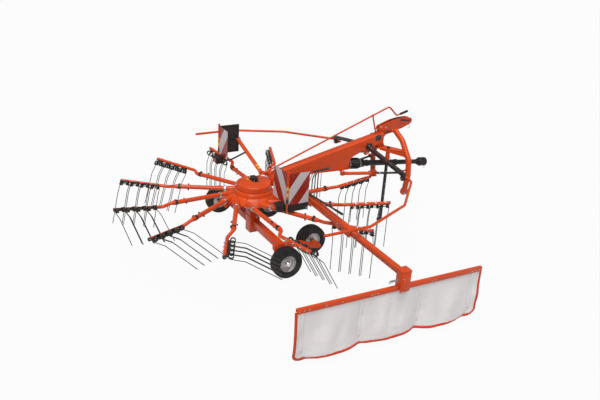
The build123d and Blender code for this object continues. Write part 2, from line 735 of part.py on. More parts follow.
# Side, corner along X and sideways, height of the foot, and whether a long lamp box hangs
# below the side panel too
boards = ((-1, 90.0, 800.0, 860.0, True),
          (1, -100.0, 1000.0, 1000.0, False))


def make_boards():
    panels, lamps = [], []
    for side, x, y, z, side_lamp in boards:
        inward = -side
        corner = side * y
        rear = block((x, min(corner, corner + inward * board_rear), z),
                     (x + board_thick, max(corner, corner + inward * board_rear), z + board_rise))
        flank = block((x, min(corner, corner + inward * board_thick), z),
                      (x + board_side, max(corner, corner + inward * board_thick), z + board_rise))
        post = rod((x, corner, z - board_post_over), (x, corner, z + board_rise + board_post_over),
                   board_post_d / 2)
        panels.append(rear + flank + post)
        near = corner + inward * board_post_d
        far = near + inward * lamp_width
        face = x + board_thick * 2
        lamps.append(block((face - lamp_depth, min(near, far), z - lamp_height),
                           (face, max(near, far), z - seat_gap)))
        if side_lamp:
            inner = corner + inward * side_lamp_depth
            lamps.append(block((x + board_post_d, min(corner, inner), z - side_lamp_height),
                               (x + board_side, max(corner, inner), z - seat_gap)))
    parts["warning_boards"] = together(panels)
    parts["board_lamps"] = together(lamps)
    # Left post from the boom's foot up to the left board, and the right board's bar
    side, x, y, z = boards[1][:4]
    foot = (boom_rear_x - plate, boom_width / 2 + seat_gap, cover_shoulder)
    turn = (cover_radius * 0.95, cover_radius, cover_shoulder + plate * 2)
    top = (x + board_side * 0.9, y - board_post_d * 3, z + board_rise * 0.45)
    post = beam(foot, turn, board_post_d, board_post_d * 2)
    post += beam(turn, top, board_post_d * 2, board_post_d)
    post += block((top[0] - board_post_d, top[1] - board_post_d, top[2] - board_post_d),
                  (top[0] + board_post_d, y - board_thick - seat_gap, top[2] + board_post_d / 2))
    post -= block((0, -boom_width, 0), (boom_front_x, boom_width / 2 + seat_gap, boom_front_top))
    parts["left_board_post"] = post
    side, x, y, z = boards[0][:4]
    seat_x = curtain_root_x - sleeve_size / 2 - seat_gap
    seat_y = -boom_width * 1.8
    seat_z = curtain_arm_z + sleeve_size / 4
    bar = beam((seat_x - board_post_d, seat_y, curtain_arm_z + sleeve_size / 2),
               (x, -y, z + board_post_d), board_post_d, board_post_d)
    bar += block((seat_x - board_post_d * 2, seat_y - board_post_d, seat_z),
                 (seat_x, seat_y + board_post_d, seat_z + board_post_d))
    bar -= block((x - board_side, -y - board_side, z), (x + board_thick, -y + board_side, z + board_rise))
    bar -= block((x - board_side, -y - board_side, z), (x + board_side, -y + board_thick, z + board_rise))
    bar -= rod((x, -y, z - board_post_over), (x, -y, z + board_rise), board_post_d / 2)
    parts["right_board_bar"] = max(bar.solids(), key=lambda solid: solid.volume)


def footprint_shift():
    """Move that puts the footprint's middle, on the ground, at the origin."""
    boxes = [shape.bounding_box() for shape in parts.values()]
    low = [min(getattr(box.min, axis) for box in boxes) for axis in "XYZ"]
    high = [max(getattr(box.max, axis) for box in boxes) for axis in "XYZ"]
    return vec(-(low[0] + high[0]) / 2, -(low[1] + high[1]) / 2, -low[2])


make_rotor()
make_cover()
make_wheels()
make_axle()
make_boom()
make_crank()
make_headstock()
make_stand()
make_drive()
make_stays()
make_rails()
make_curtain()
make_boards()
shift = footprint_shift()
os.makedirs("parts", exist_ok=True)
for name, shape in parts.items():
    export_step(Pos(*shift) * shape, f"parts/{name}.step")
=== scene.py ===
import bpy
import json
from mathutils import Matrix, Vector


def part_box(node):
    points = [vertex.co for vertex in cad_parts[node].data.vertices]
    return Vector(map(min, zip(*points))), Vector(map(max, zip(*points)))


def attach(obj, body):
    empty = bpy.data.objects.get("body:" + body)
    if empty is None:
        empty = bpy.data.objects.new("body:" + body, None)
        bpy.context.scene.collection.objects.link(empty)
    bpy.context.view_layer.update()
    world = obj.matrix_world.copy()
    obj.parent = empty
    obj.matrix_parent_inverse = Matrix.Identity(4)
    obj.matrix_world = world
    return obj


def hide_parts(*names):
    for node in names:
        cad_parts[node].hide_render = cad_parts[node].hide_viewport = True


bl_info = {
    "name": "Rotary Hay Rake",
    "version": (1, 0, 0),
    "blender": (4, 5, 0),
    "location": "View3D > Sidebar > Hay Rake",
    "description": "Dresses the packed hay rake: tines, tubes, tyres, boards, curtain, studio",
    "category": "Object",
}

import json
from math import cos, pi, radians, sin, tau

import bmesh
import bpy
from mathutils import Euler, Matrix, Vector, noise

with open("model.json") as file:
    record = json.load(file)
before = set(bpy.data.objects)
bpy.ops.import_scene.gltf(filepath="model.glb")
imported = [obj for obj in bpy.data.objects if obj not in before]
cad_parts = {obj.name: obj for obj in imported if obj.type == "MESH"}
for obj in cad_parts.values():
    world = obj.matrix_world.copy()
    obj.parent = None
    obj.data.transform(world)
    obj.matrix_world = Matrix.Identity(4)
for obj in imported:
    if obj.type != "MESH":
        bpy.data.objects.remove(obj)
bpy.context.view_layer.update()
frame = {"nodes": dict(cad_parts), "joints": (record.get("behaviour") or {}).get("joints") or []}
joints = {joint["name"]: joint for joint in frame["joints"]}
rotor_axis = Vector(joints["rotor_spin"]["pos_m"])
ground_point = Vector((rotor_axis.x, rotor_axis.y, 0))

# The twelve arms stand on tubes that pass the rotor's axis to one side. Each has a roll about
# its own tube, which the cam in the rotor gives it: 0 hangs to work, above that it is lifted.
arm_rolls = (0, 23, 52, 69, 70, 63, 30, 0, 0, 0, 0, 0)

# Places that several pieces share, from the rotor's axis and the ground: ahead, out from the
# rake's middle and up
tandem_y = 0.850
wheel_places = ((-0.05, 1.105), (0.58, 0.655))
rail_pin_y, rail_pin_z = 0.880, 1.0
stay_rear_x, stay_rear_y = 1.4, 0.105
stay_front_x, stay_front_y = 2.262, 0.400
stay_z = 0.872
crank_foot_z, crank_top = 0.9583, (2.22, 1.790)
shaft_rear, shaft_front = Vector((1.545, 0, 0.975)), Vector((3.060, 0, 0.815))

# A turned form's points stay this far from its line, so its flat ends are small rings
axis_gap = 0.0001


# Meshes

def from_axis(x, y, z):
    """A point given from the rotor's axis and the ground, in the frame's own place."""
    return ground_point + Vector((x, y, z))


def mesh_piece(name, bm, material, body, smooth=35):
    """A bmesh made into an object that rides on a body."""
    mesh = bpy.data.meshes.new(name)
    bm.to_mesh(mesh)
    bm.free()
    piece = bpy.data.objects.new(name, mesh)
    bpy.context.scene.collection.objects.link(piece)
    materials = material if isinstance(material, (list, tuple)) else [material]
    for one in materials:
        mesh.materials.append(one)
    if smooth:
        mesh.shade_smooth()
        mesh.set_sharp_from_angle(angle=radians(smooth))
    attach(piece, body)
    return piece


def frame_along(direction):
    """Two directions across the given one."""
    along = direction.normalized()
    spare = Vector((0, 0, 1)) if abs(along.z) < 0.95 else Vector((1, 0, 0))
    side = spare.cross(along).normalized()
    return side, along.cross(side).normalized()


def rounded(points, radius, steps=6):
    """A route of straight runs with an arc at each corner."""
    points = [Vector(p) for p in points]
    route = [points[0]]
    for before, corner, after in zip(points, points[1:], points[2:]):
        back, on = (before - corner).normalized(), (after - corner).normalized()
        turn = pi - back.angle(on)
        if turn < 0.01:
            continue
        room = min((before - corner).length, (after - corner).length) * 0.48
        reach = min(radius * abs(sin(turn / 2) / cos(turn / 2)), room)
        start, end = corner + back * reach, corner + on * reach
        for step in range(steps + 1):
            t = step / steps
            route.append(start.lerp(corner, t).lerp(corner.lerp(end, t), t))
    route.append(points[-1])
    return route


def add_tube(bm, route, radius, sides=10, material=0):
    """A round tube along a route. The radius is one value, or a list with one for each point."""
    route = [Vector(p) for p in route]
    radii = radius if isinstance(radius, (list, tuple)) else [radius] * len(route)
    side, up = frame_along(route[1] - route[0])
    rings, last = [], (route[1] - route[0]).normalized()
    for index, point in enumerate(route):
        ahead = route[min(index + 1, len(route) - 1)] - route[max(index - 1, 0)]
        along = ahead.normalized() if ahead.length > 1e-9 else last
        side = (side - along * side.dot(along)).normalized()
        up = along.cross(side)
        last = along
        rings.append([bm.verts.new(point + (side * cos(a) + up * sin(a)) * radii[index])
                      for a in (tau * k / sides for k in range(sides))])
    faces = [bm.faces.new((one[k], one[(k + 1) % sides], two[(k + 1) % sides], two[k]))
             for one, two in zip(rings, rings[1:]) for k in range(sides)]
    faces += [bm.faces.new(rings[0][::-1]), bm.faces.new(rings[-1])]
    for face in faces:
        face.material_index = material


def add_lathe(bm, centre, direction, profile, sides=32, material=0, closed=True):
    """A turned form from (radius, along) points about a line."""
    centre, along = Vector(centre), Vector(direction).normalized()
    side, up = frame_along(along)
    rings = []
    for radius, far in profile:
        reach = max(radius, axis_gap)
        rings.append([bm.verts.new(centre + along * far + (side * cos(a) + up * sin(a)) * reach)
                      for a in (tau * k / sides for k in range(sides))])
    pairs = list(zip(rings, rings[1:]))
    if closed:
        pairs.append((rings[-1], rings[0]))
    for one, two in pairs:
        for k in range(sides):
            face = bm.faces.new((one[k], one[(k + 1) % sides], two[(k + 1) % sides], two[k]))
            face.material_index = material
    if not closed:
        for ring, flip in ((rings[0], -1), (rings[-1], 1)):
            face = bm.faces.new(ring[::flip])
            face.material_index = material


def rod(radius, length):
    """Profile of a plain rod or disc."""
    return [(0, 0), (radius, 0), (radius, length), (0, length)]


def collar(inner, outer, length):
    """Profile of a plain ring or sleeve."""
    return [(inner, 0), (outer, 0), (outer, length), (inner, length)]


def add_box(bm, centre, size, turn=None, material=0, bevel=0.0):
    """A block with its edges rounded by the bevel."""
    matrix = Matrix.Translation(Vector(centre)) @ (turn or Matrix()).to_4x4()
    made = bmesh.ops.create_cube(bm, size=1, matrix=matrix @ Matrix.Diagonal((*size, 1)))
    if bevel:
        edges = list({edge for vert in made["verts"] for edge in vert.link_edges})
        made = bmesh.ops.bevel(bm, geom=edges, offset=bevel, segments=2, profile=0.5, affect="EDGES")
    for vert in made["verts"]:
        for face in vert.link_faces:
            face.material_index = material


def add_plate(bm, outline, across, thick, place, material=0, bevel=0.0):
    """A flat plate: an outline of (along, up) points, laid by the matrix, thick across it."""
    low = [bm.verts.new(place @ Vector((x, across - thick / 2, z))) for x, z in outline]
    high = [bm.verts.new(place @ Vector((x, across + thick / 2, z))) for x, z in outline]
    faces = [bm.faces.new(low), bm.faces.new(high[::-1])]
    count = len(outline)
    for k in range(count):
        faces.append(bm.faces.new((low[k], high[k], high[(k + 1) % count], low[(k + 1) % count])))
    for face in faces:
        face.material_index = material
    if bevel:
        edges = list({e for f in faces[:2] for e in f.edges})
        bmesh.ops.bevel(bm, geom=edges, offset=bevel, segments=2, profile=0.5, affect="EDGES")


def add_bolt(bm, at, direction, size, material=0, washer=True):
    """A hexagon head, its washer and the bolt's end."""
    at, along = Vector(at), Vector(direction).normalized()
    if washer:
        add_lathe(bm, at, along, rod(size * 1.15, size * 0.16), 12, material, closed=False)
    add_lathe(bm, at, along, [(0, 0), (size * 0.9, size * 0.1), (size * 0.9, size * 0.75),
                              (size * 0.7, size * 0.9), (0, size * 0.9)], 6, material, closed=False)


class Kit:
    """One joined mesh of parts in several finishes, which rides on one body."""

    def __init__(self, name, body, *keys):
        self.name, self.body, self.keys = name, body, keys
        self.bm = bmesh.new()

    def box(self, centre, size, key, turn=None, bevel=0.002):
        add_box(self.bm, from_axis(*centre), size, turn, self.keys.index(key), bevel)

    def bar(self, start, end, width, height, key, bevel=0.003):
        """A rectangular bar from one point to another, its height upward."""
        start, end = from_axis(*start), from_axis(*end)
        along = (end - start).normalized()
        side, up = frame_along(along)
        turn = Matrix((along, side, up)).transposed()
        add_box(self.bm, (start + end) / 2, ((end - start).length, width, height), turn,
                self.keys.index(key), bevel)

    def tube(self, route, radius, key, sides=14, bend=0.0):
        """A round tube along a route, its corners rounded by the bend."""
        route = [from_axis(*point) for point in route]
        if bend:
            route = rounded(route, bend, 8)
        add_tube(self.bm, route, radius, sides, self.keys.index(key))

    def turned(self, centre, direction, profile, key, sides=28, closed=False):
        """A turned form: solid with flat ends, or a ring whose profile closes on itself."""
        add_lathe(self.bm, from_axis(*centre), direction, profile, sides, self.keys.index(key), closed)

    def bolt(self, at, direction, size=0.009, key="zinc"):
        add_bolt(self.bm, from_axis(*at), direction, size, self.keys.index(key))

    def plate(self, outline, y, thick, key, bevel=0.002):
        """An upright plate along the machine: (x, z) outline from the rotor's axis."""
        add_plate(self.bm, outline, y, thick, Matrix.Translation(ground_point), self.keys.index(key),
                  bevel)

    def done(self, slot, *nodes, smooth=35):
        """Makes the piece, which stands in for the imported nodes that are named."""
        bmesh.ops.recalc_face_normals(self.bm, faces=self.bm.faces)
        piece = mesh_piece(self.name, self.bm, [finishes[key] for key in self.keys], self.body, smooth)
        if nodes:
            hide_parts(*nodes)
        return piece


def soft_corner(points, radius, steps=4):
    """An outline in the side view with its corners rounded."""
    flat = [Vector((x, 0, z)) for x, z in points]
    count, outline = len(flat), []
    for k in range(count):
        before, corner, after = flat[k - 1], flat[k], flat[(k + 1) % count]
        back, on = before - corner, after - corner
        reach = min(radius, back.length * 0.45, on.length * 0.45)
        start, end = corner + back.normalized() * reach, corner + on.normalized() * reach
        for step in range(steps + 1):
            t = step / steps
            spot = start.lerp(corner, t).lerp(corner.lerp(end, t), t)
            outline.append((spot.x, spot.z))
    return outline


# Finishes

def finish(name, colour, rough, metal=0.0):
    """A new material with its shader ready, and the tools to wire it."""
    material = bpy.data.materials.new(name)
    material.use_nodes = True
    nodes, links = material.node_tree.nodes, material.node_tree.links
    shader = nodes["Principled BSDF"]
    shader.inputs["Base Color"].default_value = (*colour, 1)
    shader.inputs["Roughness"].default_value = rough
    shader.inputs["Metallic"].default_value = metal
    material.diffuse_color = (*colour, 1)
    return material, nodes, links, shader


def surface_point(nodes):
    """The piece's own measure, which a pattern follows."""
    return nodes.new("ShaderNodeTexCoord").outputs["Object"]


def vary_colour(nodes, links, shader, colour, other, scale, low=0.35, high=0.7):
    """Cloudy change between two colours over the surface."""
    cloud = nodes.new("ShaderNodeTexNoise")
    cloud.inputs["Scale"].default_value = scale
    cloud.inputs["Detail"].default_value = 4
    links.new(surface_point(nodes), cloud.inputs["Vector"])
    ramp = nodes.new("ShaderNodeValToRGB")
    ramp.color_ramp.elements[0].position = low
    ramp.color_ramp.elements[0].color = (*colour, 1)
    ramp.color_ramp.elements[1].position = high
    ramp.color_ramp.elements[1].color = (*other, 1)
    links.new(cloud.outputs["Fac"], ramp.inputs["Fac"])
    links.new(ramp.outputs["Color"], shader.inputs["Base Color"])


def vary_gloss(nodes, links, shader, low, high, scale):
    """Roughness that changes gently over the surface."""
    cloud = nodes.new("ShaderNodeTexNoise")
    cloud.inputs["Scale"].default_value = scale
    cloud.inputs["Detail"].default_value = 5
    links.new(surface_point(nodes), cloud.inputs["Vector"])
    span = nodes.new("ShaderNodeMapRange")
    span.inputs["From Min"].default_value = 0.3
    span.inputs["From Max"].default_value = 0.7
    span.inputs["To Min"].default_value = low
    span.inputs["To Max"].default_value = high
    links.new(cloud.outputs["Fac"], span.inputs["Value"])
    links.new(span.outputs["Result"], shader.inputs["Roughness"])


def add_bump(nodes, links, shader, scale, depth, strength, kind="ShaderNodeTexNoise"):
    """Fine relief from a noise or from cells."""
    grain = nodes.new(kind)
    grain.inputs["Scale"].default_value = scale
    links.new(surface_point(nodes), grain.inputs["Vector"])
    bump = nodes.new("ShaderNodeBump")
    bump.inputs["Distance"].default_value = depth
    bump.inputs["Strength"].default_value = strength
    links.new(grain.outputs[0], bump.inputs["Height"])
    links.new(bump.outputs["Normal"], shader.inputs["Normal"])


def shade(colour, factor):
    """The colour made darker or lighter."""
    return tuple(channel * factor for channel in colour)


def coat(name, colour, rough, metal=0.0, shades=(0.88, 1.08), cloud=40.0, gloss=None,
         grain=(500, 0.0002, 0.25), specular=None, ends=(0.35, 0.7)):
    """A finish in one colour: its two shades and the cloud's scale, then gloss, grain and mirror."""
    material, nodes, links, shader = finish(name, tuple(colour), rough, metal)
    vary_colour(nodes, links, shader, shade(colour, shades[0]), shade(colour, shades[1]), cloud, *ends)
    if gloss:
        vary_gloss(nodes, links, shader, *gloss)
    if grain:
        add_bump(nodes, links, shader, *grain)
    if specular is not None:
        shader.inputs["Specular IOR Level"].default_value = specular
    return material


def orange_paint(colours):
    """Glossy machine paint with a thin clear coat."""
    material = coat("orange paint", colours.paint, 0.35, 0.0, (0.93, 1.06), 2.5, (0.28, 0.42, 6),
                    (260, 0.0004, 0.35), 0.3)
    shader = material.node_tree.nodes["Principled BSDF"]
    shader.inputs["Coat Weight"].default_value = 0.06
    shader.inputs["Coat Roughness"].default_value = 0.2
    return material


def curtain_cloth(colours):
    """White coated cloth: a fine plain weave under a satin coat."""
    colour = tuple(colours.cloth)
    material, nodes, links, shader = finish("coated cloth", colour, 0.55)
    vary_colour(nodes, links, shader, shade(colour, 0.96), colour, 5)
    waves = []
    for direction in ("X", "Z"):
        wave = nodes.new("ShaderNodeTexWave")
        wave.bands_direction = direction
        wave.inputs["Scale"].default_value = 160
        wave.inputs["Distortion"].default_value = 0.6
        links.new(surface_point(nodes), wave.inputs["Vector"])
        waves.append(wave)
    weave = nodes.new("ShaderNodeMath")
    weave.operation = "MAXIMUM"
    links.new(waves[0].outputs["Fac"], weave.inputs[0])
    links.new(waves[1].outputs["Fac"], weave.inputs[1])
    bump = nodes.new("ShaderNodeBump")
    bump.inputs["Distance"].default_value = 0.0004
    bump.inputs["Strength"].default_value = 0.25
    links.new(weave.outputs[0], bump.inputs["Height"])
    links.new(bump.outputs["Normal"], shader.inputs["Normal"])
    shader.inputs["Sheen Weight"].default_value = 0.15
    return material


def striped_sheet(colours):
    """Reflecting sheet with diagonal stripes, which the panel's own measure lays out."""
    material, nodes, links, shader = finish("striped sheet", tuple(colours.board_white), 0.35)
    measure = nodes.new("ShaderNodeUVMap")
    measure.uv_map = "stripes"
    parts = nodes.new("ShaderNodeSeparateXYZ")
    links.new(measure.outputs["UV"], parts.inputs["Vector"])
    band = nodes.new("ShaderNodeMath")
    band.operation = "FRACT"
    links.new(parts.outputs["X"], band.inputs[0])
    step = nodes.new("ShaderNodeMath")
    step.operation = "LESS_THAN"
    step.inputs[1].default_value = 0.5
    links.new(band.outputs[0], step.inputs[0])
    mix = nodes.new("ShaderNodeMix")
    mix.data_type = "RGBA"
    mix.inputs["A"].default_value = (*colours.board_white, 1)
    mix.inputs["B"].default_value = (*colours.board_red, 1)
    shader.inputs["Specular IOR Level"].default_value = 0.25
    links.new(step.outputs[0], mix.inputs["Factor"])
    links.new(mix.outputs["Result"], shader.inputs["Base Color"])
    add_bump(nodes, links, shader, 220, 0.0003, 0.25, "ShaderNodeTexVoronoi")
    shader.inputs["Coat Weight"].default_value = 0.08
    return material


finishes = {}


def make_finishes(colours):
    """All finishes, by the short key that the pieces ask for."""
    finishes.update({
        "paint": orange_paint(colours),
        "black": coat("black paint", colours.black, 0.45, 0.0, (1, 1.8), 9, (0.34, 0.52, 12),
                      (420, 0.0003, 0.3), 0.3),
        "plastic": coat("black plastic", colours.black, 0.5, 0.0, (0.7, 1.3), 14, None,
                        (700, 0.0003, 0.3, "ShaderNodeTexVoronoi"), 0.25),
        "tine": coat("spring steel", colours.tine, 0.38, 0.35, (0.75, 1.5), 30, (0.3, 0.5, 40), None),
        "zinc": coat("zinc plate", colours.zinc, 0.32, 0.9, (0.8, 1.1), 60, (0.24, 0.42, 50), None),
        "rubber": coat("tyre rubber", colours.rubber, 0.62, 0.0, (0.8, 1.9), 11, (0.5, 0.72, 16),
                       (500, 0.0005, 0.5), 0.25, (0.4, 0.75)),
        "rim": coat("rim silver", colours.rim, 0.38, 0.55, (0.82, 1.12), 18, (0.3, 0.46, 25),
                    (380, 0.0002, 0.3)),
        "cloth": curtain_cloth(colours),
        "hem": coat("hem tape", colours.hem, 0.6, 0.0, (0.85, 1.1), 40, None, (900, 0.0004, 0.5)),
        "stripes": striped_sheet(colours),
        "yellow": coat("yellow label", (0.75, 0.42, 0.03), 0.4),
        "label": coat("dark label", (0.035, 0.03, 0.03), 0.35),
        "red lens": coat("red lens", (0.42, 0.03, 0.02), 0.18),
        "chrome": coat("bright steel", (0.72, 0.7, 0.7), 0.18, 1.0),
        "backing": coat("panel backing", (0.03, 0.026, 0.026), 0.5),
    })


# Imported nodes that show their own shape: those that aren't painted, and those whose sharp
# edges are rounded, and by how much
node_finishes = {"pivot_pin": "zinc"}
soft_nodes = {"axle_beam": 0.006, "centre_column": 0.006, "side_carrier": 0.004}


def dress_nodes():
    """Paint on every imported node. The operators replace most of them."""
    for name, node in frame["nodes"].items():
        node.data.materials.clear()
        node.data.materials.append(finishes[node_finishes.get(name, "paint")])
        node.data.shade_smooth()
        node.data.set_sharp_from_angle(angle=radians(35))
        if name in soft_nodes:
            weld = node.modifiers.new("Weld", "WELD")
            weld.merge_threshold = 0.00005
            bevel = node.modifiers.new("Edges", "BEVEL")
            bevel.limit_method = "ANGLE"
            bevel.angle_limit = radians(40)
            bevel.width = soft_nodes[name]
            bevel.segments = 2


# Rotor

def arm_place(number, settings, rolled=True):
    """Matrix of an arm's own frame: X out along the arm, Z up, Y behind it, turned by its roll."""
    angle = radians(settings.first_angle + number * 30)
    out = Vector((cos(angle), sin(angle), 0))
    behind = Vector((-sin(angle), cos(angle), 0))
    roll = radians(arm_rolls[(number - 1) % 12]) if rolled else 0
    start = rotor_axis - behind * settings.side_step
    turn = Matrix((out, behind, Vector((0, 0, 1)))).transposed()
    return Matrix.Translation(start) @ turn.to_4x4() @ Matrix.Rotation(roll, 4, "X")


def bar_centre(settings, x):
    """The tine bar's middle in the rolled frame: ahead of the tube at its root, above it at its tip."""
    share = (x - settings.crank_end) / (settings.arm_tip - settings.crank_end)
    ahead, lift = settings.crank_ahead, settings.crank_rise
    return Vector((x, -ahead * (1 - share), lift + (settings.crank_lift - lift) * share))


def make_arms(settings):
    """Each arm: the tube from its socket, the cranked tine bar, clamp band, cap, lugs and bolts."""
    lift = settings.crank_lift
    tube_r, bar_r = settings.arm_tube / 2, settings.tine_bar / 2
    bm = bmesh.new()
    for number in range(1, 13):
        place = arm_place(number, settings)

        def at(x, y, z):
            return place @ Vector((x, y, z))

        start, tip = settings.arm_root, settings.arm_tip
        add_tube(bm, [at(start, 0, 0), at(settings.crank_start, 0, 0)], tube_r, 20)
        route = rounded([at(settings.crank_start - 0.02, 0, 0), at(settings.crank_start + 0.022, 0, 0),
                         place @ bar_centre(settings, settings.crank_end),
                         place @ bar_centre(settings, tip - 0.004)], 0.075, 8)
        add_tube(bm, route, bar_r * 1.02, 18)
        add_tube(bm, [at(settings.crank_start - 0.012, 0, 0), at(settings.crank_start + 0.014, 0, 0)],
                 [tube_r, bar_r], 20)
        # Clamp band over the joint, black cap and wire clip at the tip, two lugs, two screws
        add_tube(bm, [at(settings.band_at - 0.017, 0, 0), at(settings.band_at + 0.017, 0, 0)],
                 tube_r + 0.005, 20, 1)
        add_box(bm, at(settings.band_at, 0, tube_r + 0.008), (0.03, 0.022, 0.018), place.to_3x3(), 1,
                0.002)
        add_tube(bm, [place @ bar_centre(settings, tip - 0.012), place @ bar_centre(settings, tip)],
                 bar_r * 1.07, 18, 1)
        add_tube(bm, [at(tip - 0.002, 0, lift), at(tip + 0.007, 0.012, lift),
                      at(tip + 0.004, 0.018, lift - 0.03)], 0.0025, 6, 2)
        for side in (-1, 1):
            lug = [at(settings.lug_at, 0, side * high) for high in (tube_r * 0.9, tube_r + 0.02)]
            add_tube(bm, lug, 0.011, 10, 1)
        for far in (settings.lug_at - 0.31, settings.lug_at + 0.05):
            add_bolt(bm, at(far, -tube_r * 0.98, 0), place.to_3x3() @ Vector((0, -1, 0)), 0.009, 2)
    piece = mesh_piece("tine_arm_tubes", bm, [finishes["paint"], finishes["black"], finishes["zinc"]],
                       "rotor", 40)
    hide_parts("tine_arms")


def make_tines(settings):
    """Double spring tines: two coils joined by a bridge under the clip, each with a bent leg."""
    wire = settings.tine_wire / 2
    coil_r = settings.coil_diameter / 2 - wire
    lift, bar_r = settings.crank_lift, settings.tine_bar / 2
    lean, kick = radians(settings.coil_lean), radians(settings.kick)
    centre_y, centre_z = sin(lean) * settings.coil_away, lift - cos(lean) * settings.coil_away
    coil_length = settings.coil_turns * settings.tine_wire * 1.05
    leg_x = settings.leg_space / 2
    near_x = leg_x - coil_length / 2
    coil_steps = int(settings.coil_turns * 14)
    for number in range(1, 13):
        arm = arm_place(number, settings)
        tilt = Matrix.Translation(Vector((0, 0, lift))) @ Matrix.Rotation(lean, 4, "X")
        bm = bmesh.new()
        for pair in range(4):
            x = settings.arm_tip - settings.end_step - settings.tine_pitch * pair
            place = arm @ Matrix.Translation(bar_centre(settings, x) - Vector((x, 0, lift)))
            for side in (-1, 1):
                # The wire leaves the bridge, winds outward round the coil and goes off as the leg
                first, last = x + side * near_x, x + side * (near_x + coil_length)
                coil = []
                for k in range(coil_steps + 1):
                    turn = pi + lean - settings.coil_turns * tau * k / coil_steps
                    coil.append(Vector((first + (last - first) * k / coil_steps,
                                        centre_y - coil_r * sin(turn), centre_z - coil_r * cos(turn))))
                hold = Vector((last, centre_y - coil_r * cos(kick), centre_z - coil_r * sin(kick)))
                knee = hold + Vector((0, sin(kick), -cos(kick))) * settings.first_run
                tip = knee + Vector((0, 0, -settings.second_run))
                leg = rounded([hold, knee, tip], 0.1, 7)
                add_tube(bm, [place @ p for p in coil], wire, 7)
                add_tube(bm, [place @ p for p in leg], wire, 7)
            # Two bars of the bridge leave a window between the coils
            for high in (-coil_r, coil_r):
                bar = [tilt @ Vector((x + across * (near_x + 0.006), 0,
                                      high - settings.coil_away)) for across in (-1, 1)]
                add_tube(bm, [place @ p for p in bar], wire * 1.15, 6, 1)
            matrix = place @ tilt
            saddle = -(bar_r + settings.coil_away - coil_r) / 2
            add_box(bm, matrix @ Vector((x, 0, saddle)),
                    (0.07, 0.026, settings.coil_away - coil_r - bar_r + 0.006), matrix.to_3x3(), 1,
                    0.004)
            add_box(bm, matrix @ Vector((x, 0, -bar_r * 1.04)), (0.1, 0.038, 0.006), matrix.to_3x3(), 1,
                    0.002)
            add_bolt(bm, matrix @ Vector((x, 0, bar_r * 0.94)), matrix.to_3x3() @ Vector((0, 0, 1)),
                     0.0125, 2)
        piece = mesh_piece(f"spring_tines_{number:02d}", bm,
                           [finishes["tine"], finishes["black"], finishes["zinc"]], "rotor", 50)
        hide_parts(f"tines_{number:02d}")


# Wheels

def make_wheels(settings):
    """Ribbed tyre and pressed rim for each of the four wheels."""
    radius, half = settings.radius, settings.width / 2
    rim_r = settings.rim_radius
    for name in ("rear_right", "rear_left", "front_right", "front_left"):
        centre = Vector(joints[f"wheel_{name}_spin"]["pos_m"])
        outward = 1 if centre.y > rotor_axis.y else -1
        if name.startswith("front"):
            outward = -outward
        axis = Vector((0, outward, 0))
        bm = bmesh.new()
        # The tread: plain ribs between narrow grooves, then rounded shoulders and walls
        ribs, groove = settings.ribs, settings.groove
        tread_half = half * 0.84
        crown = []
        for k in range(ribs):
            low = -tread_half + 2 * tread_half * k / ribs
            high = low + 2 * tread_half / ribs
            for far, deep in ((low + 0.003, groove), (low + 0.005, 0), (high - 0.005, 0),
                              (high - 0.003, groove)):
                drop = (far / tread_half) ** 2 * 0.006
                crown.append((radius - drop - deep, far))
        wall = [(rim_r, half * 0.72), (rim_r + 0.006, half * 0.8), (rim_r + 0.018, half * 0.86),
                (rim_r + 0.028, half * 0.97), (radius - 0.05, half), (radius - 0.036, half),
                (radius - 0.022, half * 0.985), (radius - 0.0125, half * 0.93)]
        profile = [(r, -far) for r, far in wall] + crown + [(r, far) for r, far in reversed(wall)]
        add_lathe(bm, centre, axis, profile, 72)
        piece = mesh_piece(f"ribbed_tyre_{name}", bm, finishes["rubber"], f"wheel_{name}", 28)
        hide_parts(f"tyre_{name}")

        bm = bmesh.new()
        edge = half * 0.74
        add_lathe(bm, centre, axis,
                  [(rim_r - 0.0005, -edge), (rim_r - 0.0005, edge), (rim_r - 0.006, edge + 0.003),
                   (rim_r - 0.010, edge - 0.002), (rim_r - 0.014, edge - 0.02),
                   (rim_r - 0.022, edge - 0.028), (rim_r - 0.03, edge - 0.03),
                   (rim_r - 0.045, edge - 0.022), (0.062, edge - 0.02), (0.055, edge - 0.026),
                   (0.036, edge - 0.026), (0.036, -edge + 0.02), (rim_r - 0.02, -edge + 0.02),
                   (rim_r - 0.008, -edge - 0.002)], 56)
        add_lathe(bm, centre, axis, [(0, edge - 0.03), (0.033, edge - 0.03), (0.033, edge + 0.004),
                                     (0.026, edge + 0.012), (0, edge + 0.013)], 28, 1, closed=False)
        for k in range(4):
            a = tau * k / 4 + 0.4
            offset = Vector((cos(a), 0, sin(a))) * 0.052
            add_bolt(bm, centre + offset + axis * (edge - 0.024), axis, 0.009, 1)
        piece = mesh_piece(f"pressed_rim_{name}", bm, [finishes["rim"], finishes["chrome"]],
                           f"wheel_{name}", 32)
        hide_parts(f"rim_{name}")


# Tandem arms

